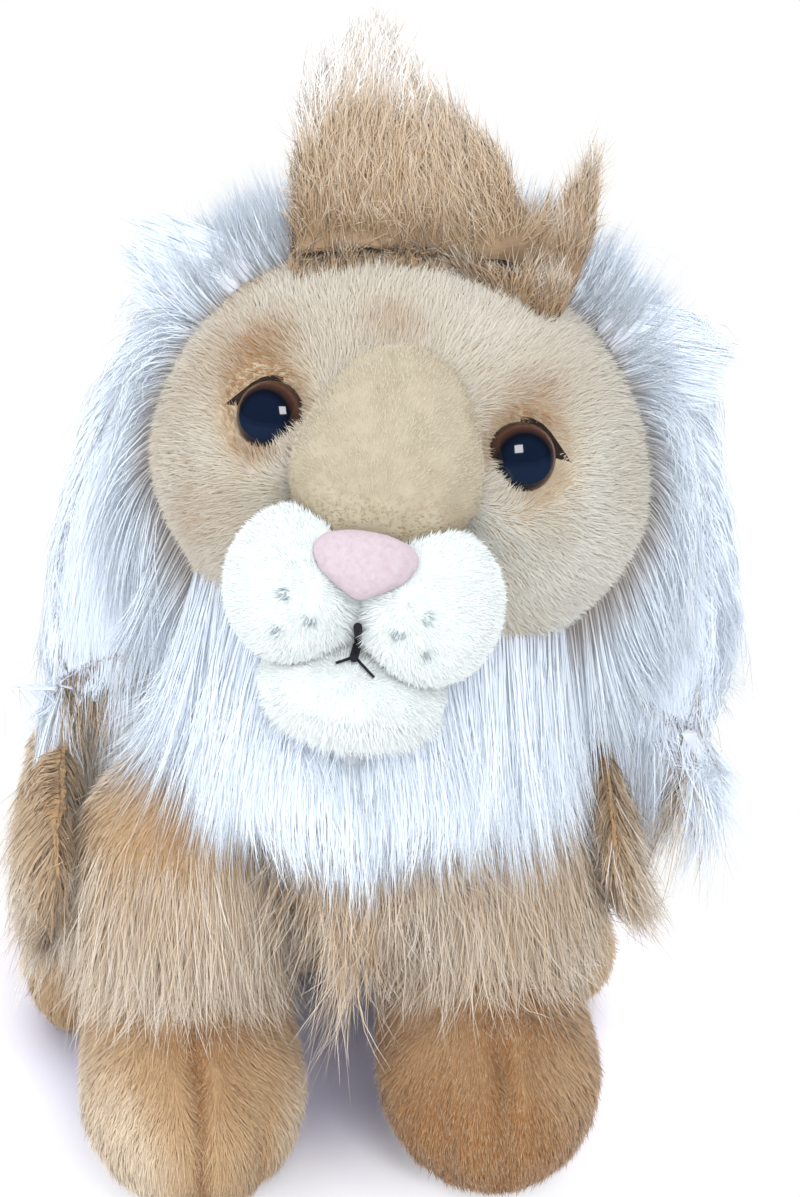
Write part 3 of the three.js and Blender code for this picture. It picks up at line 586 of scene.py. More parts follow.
def panel_length(node, tall):
    """Fuller where the two lobes meet, and hanging along the lower edge of the chin."""
    def length(at, out):
        x, z = in_head(at)[:, [0, 2]].T
        if node == "chin":
            return tall + 4.0 * np.clip(-out[:, 2] - 0.35, 0, 0.4) / 0.4
        if node == "nose_bridge":
            return np.full(len(at), tall)
        return tall + 1.6 * np.clip((6 - np.abs(x)) / 4, 0, 1)
    return length


def panel_flow(at, out):
    local = in_head(at)
    flow = np.stack([local[:, 0] * 0.4, np.full(len(at), 6.0), local[:, 2] * 0.2 + 2], -1)
    return along_head(unit(flow))


for number, (node, slot, backing, fibre, tall) in enumerate((
        ("nose_bridge", "olive_short_pile", OLIVE_CLOTH, OLIVE, 1.5),
        ("muzzle_left", "white_short_pile", WHITE_CLOTH, WHITE, 2.1),
        ("muzzle_right", "white_short_pile", WHITE_CLOTH, WHITE, 2.1),
        ("chin", "white_short_pile", WHITE_CLOTH, WHITE, 2.0))):
    skin = place(node + "_skin", skin_of(node, voxel=0.8, smooth=8), "head_group", slot, backing)
    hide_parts(node)
    pile(node + "_pile", surface_of(skin.data), "head_group", slot, fibre, 7.0,
         length=panel_length(node, tall), flow=panel_flow, tone=panel_tone(node),
         seed=210 + number, lift=0.6, width=0.24,
         keep=lambda at, out: (out @ along_head([0, -1, 0]) > -0.6).astype(float))


def pink_fabric():
    material, tree, surface = shader("pink_fabric", roughness=0.8, specular=0.1)
    noise = tree.nodes.new("ShaderNodeTexNoise")
    noise.inputs["Scale"].default_value = 900
    spot = tree.nodes.new("ShaderNodeTexCoord")
    tree.links.new(spot.outputs["Object"], noise.inputs["Vector"])
    ramp = tree.nodes.new("ShaderNodeValToRGB")
    ramp.color_ramp.elements[0].color = srgb("ac989e")
    ramp.color_ramp.elements[1].color = srgb("beb2b8")
    tree.links.new(noise.outputs["Fac"], ramp.inputs["Fac"])
    tree.links.new(ramp.outputs["Color"], surface.inputs["Base Color"])
    return material


nose = place("nose_pad", skin_of("nose", voxel=0.5, smooth=6), "head_group", "pink_nose_fabric",
             pink_fabric())
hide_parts("nose")


def plain(name, color, roughness):
    material, _, surface = shader(name, roughness=roughness)
    surface.inputs["Base Color"].default_value = srgb(color)
    return material


def over(*pieces):
    """What the long fibres lie on: the pieces' surfaces, as one search tree."""
    points, faces, base = [], [], 0
    for piece in pieces:
        at, _, corners = surface_of(piece.data)
        points.append(at)
        faces.append(corners + base)
        base += len(at)
    return BVHTree.FromPolygons(np.concatenate(points).tolist(), np.concatenate(faces).tolist())


def stitch(name, places, radius, material, lift, steps=20):
    """A sewn thread through head-frame places, in mm, given as (x, z) on the muzzle's front."""
    front = over(*(bpy.data.objects[n + "_skin"] for n in ("muzzle_left", "muzzle_right", "chin")))
    route = []
    for k in range(steps + 1):
        share = k / steps * (len(places) - 1)
        i = min(int(share), len(places) - 2)
        x, z = np.array(places[i]) * (1 - share + i) + np.array(places[i + 1]) * (share - i)
        beside = max(abs(x), 1.5) * (-1 if x < 0 else 1)
        start = Vector(from_head(np.array([beside, -100.0, z]) * MM))
        hit, _, _, _ = front.ray_cast(start, Vector(along_head([0, 1, 0])))
        if hit is not None:
            route.append(from_head(np.array([x, in_head(np.array(hit))[1] - lift, z]) * MM))
    curve = bpy.data.curves.new(name, "CURVE")
    curve.dimensions = "3D"
    curve.bevel_depth = radius * MM
    curve.bevel_resolution = 3
    curve.use_fill_caps = True
    line = curve.splines.new("POLY")
    line.points.add(len(route) - 1)
    for point, at in zip(line.points, route):
        point.co = (*at, 1)
    thread = bpy.data.objects.new(name, curve)
    bpy.context.scene.collection.objects.link(thread)
    curve.materials.append(material)
    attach(thread, "head_group")
    return thread


THREAD = plain("mouth_thread", "1d1a22", 0.7)
stitch("mouth_stitch", ((0.4, -23.5), (0.4, -30.5)), 0.9, THREAD, 4.0)
stitch("mouth_stitch_left", ((0.4, -30.4), (2.6, -31.8), (5.0, -33.4)), 0.3, THREAD, 1.8)
stitch("mouth_stitch_right", ((0.4, -30.4), (-3.0, -32.0)), 0.3, THREAD, 1.8)


# ---------------------------------------------------------------- eyes
# Safety eyes: one clear domed moulding over a dark brown rim and a large blue-black pupil, on a dark
# felt liner with one pointed corner, held by a plain lock washer inside the head.
def eye_material():
    material, tree, surface = shader("eye_plastic", roughness=0.06, specular=0.5)
    spot = tree.nodes.new("ShaderNodeUVMap")
    spot.uv_map = "OFBake"
    split = tree.nodes.new("ShaderNodeSeparateXYZ")
    ramp = tree.nodes.new("ShaderNodeValToRGB")
    tree.links.new(spot.outputs["UV"], split.inputs[0])
    tree.links.new(split.outputs["Y"], ramp.inputs["Fac"])
    tree.links.new(ramp.outputs["Color"], surface.inputs["Base Color"])
    marks = ramp.color_ramp.elements
    marks[0].position, marks[0].color = 0.0, srgb("0c1526")
    marks[1].position, marks[1].color = 1.0, srgb("120c0a")
    for position, color in ((0.4, "0d1628"), (0.56, "060a14"), (0.62, "2a1c18"), (0.76, "4c3228"), (0.9, "2c1d17")):
        marks.new(position).color = srgb(color)
    return material


def eye_mesh(node, rings=24, around=64):
    """A smooth dome over the CAD eye, turned the way that one looks."""
    points, _, _ = surface_of(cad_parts[node].data)
    side = 1 if in_head(points)[:, 0].mean() > 0 else -1
    seat = HEAD_HALF[1] * math.sqrt(1 - (EYE_ACROSS / HEAD_HALF[0]) ** 2 - (EYE_UP / HEAD_HALF[2]) ** 2)
    middle = np.array([side * EYE_ACROSS, 2.6 - seat, EYE_UP])
    angle = side * math.radians(17)
    turn = np.array([[math.cos(angle), -math.sin(angle), 0], [math.sin(angle), math.cos(angle), 0], [0, 0, 1]])
    profile = [(EYE_RADIUS * math.sin(a), -1.1 - 5.4 * math.cos(a)) for a in np.linspace(0, math.pi / 2, rings)]
    profile += [(7.5, -0.6), (7.35, -0.1), (7.2, 0.0), (2.0, 0.0), (2.0, 11.0), (0.0, 11.0)]
    radius, depth = np.array(profile).T
    travel = np.concatenate([[0], np.cumsum(np.hypot(np.diff(radius), np.diff(depth)))])
    share = np.clip(travel / travel[rings - 1], 0, 1) * 0.94 + 0.02
    spin = np.linspace(0, 2 * math.pi, around, endpoint=False)
    ring = np.stack([radius[:, None] * np.cos(spin), np.broadcast_to(depth[:, None], (len(radius), around)),
                     radius[:, None] * np.sin(spin)], -1).reshape(-1, 3)
    at = from_head((ring @ turn.T + middle) * MM)
    corners, sizes, uv = [], [], []
    for i in range(len(radius) - 1):
        for k in range(around):
            follow = (k + 1) % around
            corners += [i * around + k, i * around + follow, (i + 1) * around + follow, (i + 1) * around + k]
            sizes.append(4)
            low, high = share[i], share[i + 1] + (0.002 if share[i + 1] == share[i] else 0)
            uv += [(k / around, low), ((k + 1) / around, low), ((k + 1) / around, high), (k / around, high)]
    mesh = new_mesh(node + "_dome", at, sizes, corners)
    layer = mesh.uv_layers.new(name="OFBake")
    layer.uv.foreach_set("vector", np.array(uv, np.float32).ravel())
    return mesh


def dress(node, material):
    """Gives a CAD piece that stays in view its own material."""
    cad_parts[node].data.materials.clear()
    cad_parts[node].data.materials.append(material)


EYE_PLASTIC = eye_material()
LINER_FELT = cloth("liner_felt", "241a16", "33261f", scale=900)
WASHER = plain("washer_plastic", "e9e6df", 0.5)
for side in ("left", "right"):
    eye = place(f"eye_{side}_dome", eye_mesh("eye_" + side), "head_group", "eye_plastic", EYE_PLASTIC)
    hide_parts("eye_" + side)
    dress("eye_liner_" + side, LINER_FELT)
    dress("eye_washer_" + side, WASHER)
dress("pellet_pouch", cloth("pouch_cloth", "d9d2c4", "e6e0d4", scale=400))


# ---------------------------------------------------------------- long pile
# The mane, the crown, the bib and the tail's tuft are cut from long shaggy pile. Guide fibres are combed
# step by step over what lies under them, and the fibres between them follow in loose clumps.
STRAIGHT_SHARE, TURN_COST = 0.6, 14 * MM
SIDE_FREE, SIDE_ROOM = 76 * MM, 15 * MM


def guides(at, out, first, pull, length, loft, reach, steps, tree, follow=0.55):
    """Combs a few guide fibres step by step: each turns towards the pull and keeps near the pieces.

    It stays at least loft above them, and no more than reach out to the side of them, both in mm.
    """
    curves = np.zeros((len(at), steps + 1, 3))
    for g in range(len(at)):
        here, ahead = Vector(at[g]), Vector(first[g]).normalized()
        curves[g, 0] = here
        stride = length[g] / steps
        for k in range(1, steps + 1):
            ahead = (ahead * (1 - follow) + Vector(pull(np.array(here), k / steps)) * follow).normalized()
            trial = here + ahead * stride
            near, normal, _, gap = tree.find_nearest(trial)
            wanted = loft * MM * math.sin(min(1.0, k / steps * 1.4) * math.pi / 2)
            if near is not None:
                signed = (trial - near).dot(normal)
                height = signed if abs(signed) > 0.3 * gap else gap
                if height < wanted:
                    trial = trial + normal * (wanted - height) * 0.8
                elif height > reach * MM:
                    sideways = Vector((normal.x, normal.y, 0))
                    trial = trial - sideways * min(height - reach * MM, stride) * 0.5
            ahead = (trial - here).normalized()
            here = here + ahead * stride
            curves[g, k] = here
    for _ in range(2):
        curves[:, 1:-1] = curves[:, 1:-1] * 0.5 + (curves[:, :-2] + curves[:, 2:]) * 0.25
    return curves


def dense_curves(at, out, guide_at, guide_out, guide_curves, draw, clump, frizz, vary):
    """Fills in the fibres between the guides, draws them together towards the tips and ruffles them.

    The guides of a fibre are the nearest ones that leave the surface the same way.
    """
    steps = guide_curves.shape[1] - 1
    result = np.zeros((len(at), steps + 1, 3))
    share = np.linspace(0, 1, steps + 1)[None, :, None]
    offsets = guide_curves - guide_at[:, None]
    for start in range(0, len(at), 4000):
        part = at[start:start + 4000]
        gap = np.linalg.norm(part[:, None] - guide_at[None], axis=2)
        gap += TURN_COST * np.linalg.norm(out[start:start + 4000][:, None] - guide_out[None], axis=2)
        nearest = np.argsort(gap, axis=1)[:, :3]
        near = np.take_along_axis(gap, nearest, 1)
        weight = 1 / (near + 1e-4) ** 2
        weight /= weight.sum(1, keepdims=True)
        shape = (offsets[nearest] * weight[..., None, None]).sum(1)
        scale = 1 - vary * draw.random(len(part))[:, None, None]
        free = part[:, None] + shape * scale
        lead = guide_at[nearest[:, 0]][:, None] + offsets[nearest[:, 0]] * scale
        pull = clump * (0.4 + 0.6 * draw.random(len(part)))[:, None, None]
        result[start:start + 4000] = free + (lead - free) * pull * share ** 1.6
    size = np.linalg.norm(offsets[:, -1], axis=1).mean()
    push = np.clip(draw.normal(size=(len(at), 1, 3)), -1.6, 1.6) * frizz * size
    curl = np.clip(draw.normal(size=(len(at), 1, 3)), -1.6, 1.6) * frizz * size * 0.5
    return result + push * share ** 1.5 + curl * np.sin(share * math.pi * 1.5) * share


def lift_out(curves, tree, gap=0.6 * MM, deepest=12 * MM):
    """Moves the points of the fibres that lie inside the pieces back out over their surface."""
    for fibre in curves:
        for k in range(1, len(fibre)):
            here = Vector(fibre[k])
            near, normal, _, far = tree.find_nearest(here)
            height = (here - near).dot(normal)
            if -deepest < height < gap and abs(height) >= 0.3 * far:
                fibre[k] = here + normal * (gap * k - height)
    return curves


def long_pile(name, surface, body, slot, material, per_mm2, guide_gap, length, first, pull, tone, seed,
              tree, loft=4, reach=8, steps=5, width=0.25, keep=None, clump=0.22, frizz=0.05, vary=0.35, flatness=0.4, clear=False):
    draw = np.random.default_rng(seed)
    at, out = scatter(surface, per_mm2, draw, keep)
    lead = draw.choice(len(at), max(12, int(len(at) / per_mm2 / guide_gap ** 2)), replace=False)
    guide_at, guide_out = at[lead], out[lead]
    size = length(guide_at, draw) * MM
    combed = guides(guide_at, guide_out, first(guide_at, guide_out), pull, size, loft, reach, steps, tree)
    straight = np.linalg.norm(combed[:, -1] - combed[:, 0], axis=1) > STRAIGHT_SHARE * size
    curves = dense_curves(at - out * 0.5 * MM, out, guide_at[straight], guide_out[straight], combed[straight],
                          draw, clump, frizz, vary)
    if clear:
        curves = lift_out(curves, tree)
    beyond = np.maximum(np.abs(curves[..., 0]) - SIDE_FREE, 0)
    curves[..., 0] -= np.sign(curves[..., 0]) * (beyond - SIDE_ROOM * np.tanh(beyond / SIDE_ROOM))
    shade = tone(at, out) + draw.normal(size=len(at)) * 0.08
    blade = width * MM * (0.7 + 0.6 * draw.random(len(at)))
    mesh = fibre_mesh(name, curves, blade, shade, unit(out + UP * 0.4 + FRONT * 0.2), draw, flatness=flatness)
    return place(name, mesh, body, slot, material)


def core_of(name, body, slot, backing, inward, voxel=1.8, smooth=8, nodes=(), cutter=None):
    """The stuffed volume under a long pile, set in from the CAD form by about the pile's thickness."""
    nodes = nodes or (name,)
    shape = skin_of(*nodes, voxel=voxel, smooth=smooth, inward=inward, cutter=cutter)
    core = place(name + "_core", shape, body, slot, backing)
    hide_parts(*nodes)
    return core


def skin(node):
    return bpy.data.objects[node + "_skin"]


waves = Wobble(31, 30 * MM)
legs = [skin("front_leg_left"), skin("front_leg_right"), skin("torso")]

# ---------------------------------------------------------------- shoulder pile and chest bib
# Long tan pile on the body, under the white mane: over both shoulders, down the tops of the front legs
# and between them.
BODY_CORES = [core_of(node, "body", "mane_tan_pile", TAN_CLOTH, 3.0, voxel=1.6)
              for node in ("shoulder_mane_left", "shoulder_mane_right", "chest_bib")]
for number, (core, side) in enumerate(zip(BODY_CORES, (1, -1, 0))):
    def tan_pull(here, share, side=side):
        spread = (here[0] / MM + 4) * 0.03 if side == 0 else side * 0.15
        return unit(np.array([spread, -0.15, -1.0]) + waves(here[None])[0] * 0.3)

    hang = over(core) if side else over(core, *legs)
    long_pile(core.name.replace("_core", "_pile"), surface_of(core.data), "body", "mane_tan_pile", MANE_TAN,
              4.0, 5.0, length=lambda at, draw, side=side: (16 if side else 11) + 10 * draw.random(len(at)),
              first=lambda at, out: unit(out * 0.5 + down(at, out)), pull=tan_pull, frizz=0.1, vary=0.6,
              tone=lambda at, out: np.full(len(at), 0.4), seed=340 + number, tree=hang, loft=2, width=0.2,
              clear=True)

    long_pile(core.name.replace("_core", "_wisps"), surface_of(core.data), "body", "mane_tan_pile", WISPS,
              0.9, 6.0, length=lambda at, draw, side=side: (22 if side else 28) + 12 * draw.random(len(at)),
              first=lambda at, out: unit(out * 0.5 - UP), pull=tan_pull, frizz=0.12, vary=0.5, width=0.2,
              tone=lambda at, out: 0.4 + 0.5 * clouds(at)[:, 2], seed=344 + number, tree=hang, loft=3)

for number, (side, body) in enumerate((("left", "left_front_leg"), ("right", "right_front_leg"))):
    leg = skin("front_leg_" + side)

    def leg_top(at, out):
        z = at[:, 2] / MM
        return np.clip((z - 38) / 26, 0, 1) * (out[:, 2] < 0.9)

    long_pile(f"front_leg_{side}_top_pile", surface_of(leg.data), body, "mane_tan_pile", MANE_TAN, 4.4, 5.0,
              length=lambda at, draw: 7 + 26 * np.clip((at[:, 2] / MM - 42) / 30, 0, 1) * draw.uniform(0.5, 1.1, len(at)),
              first=lambda at, out: unit(out * 0.5 - UP),
              pull=lambda here, share: unit(-UP + waves(here[None])[0] * 0.3),
              tone=lambda at, out: 0.3 + 0.25 * np.clip((at[:, 2] / MM - 45) / 25, 0, 1), seed=350 + number,
              keep=leg_top, tree=over(leg), loft=1, vary=0.7, frizz=0.08, width=0.2)
    long_pile(f"front_leg_{side}_wisps", surface_of(leg.data), body, "mane_tan_pile", WISPS, 0.8, 6.0,
              length=lambda at, draw: 12 + 24 * np.clip((at[:, 2] / MM - 46) / 24, 0, 1),
              first=lambda at, out: unit(out * 0.5 - UP),
              pull=lambda here, share: unit(-UP + waves(here[None])[0] * 0.4),
              tone=lambda at, out: 0.5 + 0.5 * clouds(at)[:, 2], seed=354 + number,
              keep=lambda at, out: (at[:, 2] > 48 * MM) & (out[:, 2] < 0.9), tree=over(leg), loft=2,
              vary=0.5, frizz=0.12, width=0.2)

# ---------------------------------------------------------------- ears
# Small cups of plush at the temples, nearly lost in the mane. Their backs carry the mane's own pile.
EARS = [core_of("ear_" + side, "head_group", "mane_white_pile", MANE_CLOTH, 0.8, voxel=1.0) for side in ("left", "right")]
for number, (ear, side) in enumerate(zip(EARS, (1, -1))):
    long_pile(ear.name.replace("_core", "_pile"), surface_of(ear.data), "head_group", "mane_white_pile",
              MANE_WHITE, 3.0, 4.0, length=lambda at, draw: 12 + 6 * draw.random(len(at)),
              first=lambda at, out, side=side: unit(out * 0.5 + along_head([side, 0, 0.6])),
              pull=lambda here, share, side=side: unit(along_head([side * 0.9, 0.1, 0.1]) + waves(here[None])[0] * 0.3),
              tone=lambda at, out: np.full(len(at), 0.6), seed=360 + number, tree=over(ear, head), loft=1)

# ---------------------------------------------------------------- mane
# Long white pile with grey-brown roots. It is sewn into the seam behind the face, falls past the cheeks
# to the shoulders and turns tan towards its lower edge. A hood of it covers the back of the head.
SEAM_DEPTH, SEAM_SLOPE_UP, SEAM_SLOPE_DOWN = 8.0, 0.4, 0.04
HEAD_FRONT = along_head([0, -1, 0])


def in_front_of_seam(far=200.0):
    """All that lies before the face's seam, as one block to cut with. Its side is a pentagon."""
    side = [(-far, -far), (SEAM_DEPTH - SEAM_SLOPE_DOWN * far, -far), (SEAM_DEPTH, 0.0),
            (SEAM_DEPTH + SEAM_SLOPE_UP * far, far), (-far, far)]
    corners = [(x, y, z) for x in (-far, far) for y, z in side]
    walls = [(k, (k + 1) % 5, (k + 1) % 5 + 5, k + 5) for k in range(5)]
    mesh = bpy.data.meshes.new("wedge")
    mesh.from_pydata(from_head(np.array(corners) * MM).tolist(), [], [(4, 3, 2, 1, 0), (5, 6, 7, 8, 9), *walls])
    wedge = bpy.data.objects.new("wedge", mesh)
    bpy.context.scene.collection.objects.link(wedge)
    return wedge


def clear_of_head(at, out):
    """Leaves out the places that face the head ball, where the mane's backing is sewn on."""
    local = in_head(at + out * 3 * MM)
    local[:, 0] /= jaw_share(local[:, 2])
    return (((local / HEAD_HALF) ** 2).sum(1) > 0.98).astype(float)


def mane_pull(here, share):
    """Away from the face's edge at first, then down. The higher the root, the more it stands up."""
    local = in_head(here[None])[0]
    behind = np.clip(local[1] / 40, 0, 1)
    away = along_head(unit(np.array([local[0], 40 * behind, local[2] + 6])))
    fall = np.clip(1.9 - local[2] / 20, 0.15 + 0.35 * behind, 2.6) * (0.35 + 0.65 * share) * (1.0 + 1.6 * behind)
    spread = (1 - 0.45 * share) * np.clip((local[2] + 55) / 60, 0.3, 1)
    return unit(away * spread + HEAD_FRONT * 0.15 * (1 - behind) - UP * fall + waves(here[None])[0] * 0.14)


def mane_first(forward):
    def first(at, out):
        local = in_head(at)
        away = along_head(unit(np.stack([local[:, 0], np.zeros(len(at)), local[:, 2] + 6], -1)))
        rise = np.clip((local[:, 2] + 25) / 60, 0, 1)[:, None]
        return unit(out * (0.45 + 0.35 * rise) + away * 0.6 * rise - UP * 0.6 * (1 - rise) + HEAD_FRONT * forward)
    return first


def mane_length(at, draw):
    """Short at the temples and long past the cheeks, in mm."""
    x, y, z = in_head(at).T
    behind = np.clip(y / 30, 0, 1)
    return (14 + 0.75 * np.clip(24 - z, 0, 40)) * (1 - behind) + 26 * behind + 10 * draw.random(len(at))


throat = core_of("mane_throat", "head_group", "mane_white_pile", MANE_CLOTH, 5.0)
wedge = in_front_of_seam()
mane = core_of("mane", "head_group", "mane_white_pile", MANE_CLOTH, 6.0, voxel=2.2, smooth=30,
               nodes=("mane_left", "mane_right", "mane_back"), cutter=wedge)
bpy.data.objects.remove(wedge)
under = over(mane, throat, head, *legs, *BODY_CORES)


def mane_share(side, back):
    """Which part of the mane a place belongs to: one cheek's side or the hood behind."""
    def keep(at, out):
        x, y, z = in_head(at).T
        return clear_of_head(at, out) * ((y > 24) if back else (y <= 24) & (x * side > 0))
    return keep


for number, (name, side, density) in enumerate((("left", 1, 2.8), ("right", -1, 2.8), ("back", 0, 1.4))):
    long_pile(f"mane_{name}_pile", surface_of(mane.data), "head_group", "mane_white_pile", MANE_WHITE, density,
              5.0, length=mane_length, first=mane_first(0.2), pull=mane_pull,
              tone=lambda at, out: np.full(len(at), 0.62), seed=300 + number,
              keep=mane_share(side, side == 0), tree=under, width=0.2 if side else 0.28, clear=side != 0)

for number, (name, side) in enumerate((("left", 1), ("right", -1))):
    def rim_keep(at, out, side=side):
        x, y, z = in_head(at).T
        return ((y > -3) & (y < 15) & (x * side > 10) & (z > -46)).astype(float)

    long_pile(f"mane_{name}_rim_pile", face_surface, "head_group", "mane_white_pile", MANE_RIM, 5.5, 4.5,
              length=mane_length, first=mane_first(0.35), pull=mane_pull,
              tone=lambda at, out: np.full(len(at), 0.5), seed=305 + number, keep=rim_keep, tree=under)

    def fall_keep(at, out, side=side):
        x, y, z = in_head(at).T
        return ((y > -38) & (y < 4) & (x * side > 0) & (z < -25)).astype(float)

    def fall_pull(here, share, side=side):
        return unit(-UP + along_head([side * 0.12, -0.6 * (1 - share), 0]) + waves(here[None])[0] * 0.15)

    long_pile(f"mane_{name}_fall_pile", face_surface, "head_group", "mane_white_pile", MANE_WHITE, 4.0, 4.5,
              length=lambda at, draw, side=side: 38 + (0.3 if side > 0 else 0.5) * np.abs(in_head(at)[:, 0])
              + 9 * draw.random(len(at)),
              first=lambda at, out, side=side: unit(out * 0.3 + HEAD_FRONT - UP * 0.4),
              pull=fall_pull, tone=lambda at, out: np.full(len(at), 0.6), seed=308 + number,
              keep=fall_keep, tree=under)

    def lock_keep(at, out, side=side):
        x, y, z = in_head(at).T
        return ((z < -8) & (x * side > 22) & (y < 12) & (out @ HEAD_FRONT > 0.1)).astype(float)

    long_pile(f"mane_{name}_lock_pile", surface_of(mane.data), "head_group", "mane_white_pile", MANE_WHITE, 3.0,
              5.0, length=lambda at, draw: 24 + 10 * draw.random(len(at)),
              first=lambda at, out: unit(out * 0.5 + down(at, out)),
              pull=lambda here, share, side=side: unit(along_head([side * 0.2, -0.05, 0]) - UP
                                                       + waves(here[None])[0] * 0.15),
              tone=lambda at, out: np.full(len(at), 0.6), seed=312 + number, keep=lock_keep, tree=over(mane),
              width=0.2, loft=3, clear=True)

    def tan_keep(at, out, side=side):
        x, y, z = in_head(at).T
        return np.clip((-30 - z) / 20, 0, 1) * (x * side > 24) * (y < 30) * clear_of_head(at, out)

    long_pile(f"mane_{name}_tan_pile", surface_of(mane.data), "head_group", "mane_tan_pile", MANE_TAN, 1.6, 5.5,
              length=lambda at, draw: 36 + 14 * draw.random(len(at)), first=mane_first(0.0), pull=mane_pull,
              tone=lambda at, out: np.full(len(at), 0.6), seed=315 + number, keep=tan_keep, tree=under, loft=3,
              frizz=0.08, vary=0.5)



def top_keep(at, out):
    x, y, z = in_head(at).T
    return ((z > 8) & (y > -3) & (y < 36)).astype(float)


long_pile("mane_top_pile", face_surface, "head_group", "mane_white_pile", MANE_WHITE, 2.4, 5.0,
          length=lambda at, draw: 20 + 8 * draw.random(len(at)),
          first=lambda at, out: unit(out + along_head([0, 0.3, 0])), pull=mane_pull,
          tone=lambda at, out: np.full(len(at), 0.5), seed=318, keep=top_keep, tree=under, width=0.26)
long_pile("mane_throat_pile", surface_of(throat.data), "head_group", "mane_white_pile", MANE_WHITE, 2.4, 5.0,
          length=lambda at, draw: 20 + 12 * draw.random(len(at)),
          first=lambda at, out: unit(out * 0.6 - UP * 0.5),
          pull=lambda here, share: unit(-UP + waves(here[None])[0] * 0.2),
          tone=lambda at, out: np.full(len(at), 0.55), seed=320, vary=0.45,
          tree=under, loft=2)

# ---------------------------------------------------------------- crown
# The tuft over the brow is brushed up to a peak, with a smaller one beside it. Its long tan fibres are
# frizzy and lighter towards the top. Their pale top and outer side are painted light shining through the
# thin fibres, and their darkest part, where they leave the brow, is painted shade under the tuft.
CROWN_SIDES, CROWN_SMALL_PEAK, CROWN_PARTING = (-34.0, -7.0), 29.0, 19.0
HEAD_UP = along_head([0, 0, 1])


def crown_pull(here, share):
    x, y, z = in_head(here[None])[0]
    wanted = np.clip(x, *CROWN_SIDES) if x < CROWN_PARTING else CROWN_SMALL_PEAK
    return unit(along_head([(wanted - x) * 0.05, -y * 0.02, 1.0]) + waves(here[None])[0] * 0.25)


def crown_length(at, draw):
    x, y, z = in_head(at).T
    return 8 + 3 * np.clip((z - 58) / 20, 0, 1) + 4 * (x > CROWN_PARTING + 4) + 6 * draw.random(len(at))


def crown_first(at, out):
    return unit(flat_to(np.broadcast_to(HEAD_UP, at.shape), out) + out * 0.35)


def crown_tone(at, out):
    x, y, z = in_head(at).T
    # Lighter towards the top; darker still at the base over the brow, painted shade under the tuft.
    return np.clip(0.34 + (z - 50) / 80 - 0.25 * np.clip((54 - z) / 8, 0, 1), 0.08, 0.85)


def crown_pale(at, out):
    """Where the fibres are pale, painted light shining through them: the top and the outer side, seen from the front.
    """
    x, y, z = in_head(at).T
    edge = -30 + 0.6 * (z - 58)
    return np.clip(np.clip((edge - x) / 6, 0, 1) + np.clip((z - 71) / 8, 0, 1) + (x > 23) * (z > 66), 0, 1)


core = core_of("mane_crown", "head_group", "mane_tan_pile", CROWN_CLOTH, 3.0, smooth=6)
crown_under = over(core, head)
long_pile("mane_crown_pile", surface_of(core.data), "head_group", "mane_tan_pile", MANE_TAN, 4.6, 4.0,
          length=crown_length, first=crown_first, pull=crown_pull,
          tone=crown_tone, seed=330, loft=2, reach=3, frizz=0.2, vary=0.6, clump=0.4, width=0.2,
          keep=lambda at, out: 1 - 0.85 * crown_pale(at, out), tree=crown_under)
long_pile("mane_crown_tip_pile", surface_of(core.data), "head_group", "mane_tan_pile", CROWN_PALE, 5.0, 4.0,
          length=crown_length, first=crown_first, pull=crown_pull,
          tone=lambda at, out: np.full(len(at), 0.5), seed=332, loft=2, reach=4, frizz=0.22, vary=0.6,
          clump=0.4, width=0.18, keep=crown_pale, tree=crown_under)


def brow_edge(at, out):
    x, y, z = in_head(at).T
    return ((z > 38) & (y > -19) & (y < -2) & (np.abs(x) < 29)).astype(float)


# Its fibres take the darkest tone, 0.12: painted shade in the gap between the brow and the tuft.
long_pile("mane_crown_edge_pile", face_surface, "head_group", "mane_tan_pile", MANE_TAN, 7.0, 4.0,
          length=lambda at, draw: 9 + 6 * draw.random(len(at)),
          first=lambda at, out: unit(out + along_head([0, -0.3, 0])), pull=crown_pull,
          tone=lambda at, out: np.full(len(at), 0.12), seed=331, loft=3, frizz=0.22, vary=0.5, width=0.2,
          keep=brow_edge, tree=crown_under)

# ---------------------------------------------------------------- tail tuft
# A short brush of the same long tan pile closes the end of the tail.
core = core_of("tail_tuft", "tail_group", "mane_tan_pile", CROWN_CLOTH, 2.5, voxel=1.4)
tail_way = unit(middle_of(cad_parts["tail_tuft"]) - middle_of(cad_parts["tail"]))
long_pile("tail_tuft_pile", surface_of(core.data), "tail_group", "mane_tan_pile", MANE_TAN, 6.0, 3.0,
          length=lambda at, draw: 13 + 7 * draw.random(len(at)),
          first=lambda at, out: unit(out * 0.5 + tail_way),
          pull=lambda here, share: unit(tail_way + waves(here[None])[0] * 0.3),
          tone=lambda at, out: np.full(len(at), 0.4), seed=370, tree=over(core), loft=1, frizz=0.1)

# ---------------------------------------------------------------- camera, light and floor
TARGET = Vector((4.8, -37.4, 121.3)) * MM
DISTANCE = 765 * MM
TURN, RISE = math.radians(-7), math.radians(20)
camera = bpy.data.objects.new("camera", bpy.data.cameras.new("camera"))
bpy.context.scene.collection.objects.link(camera)
back = Vector((math.sin(TURN) * math.cos(RISE), -math.cos(TURN) * math.cos(RISE), math.sin(RISE)))
camera.location = TARGET + back * DISTANCE
camera.rotation_euler = back.to_track_quat("Z", "Y").to_euler()
camera.data.lens = 105.4
camera.data.sensor_width = 36
camera.data.clip_start = 0.05
bpy.context.scene.camera = camera


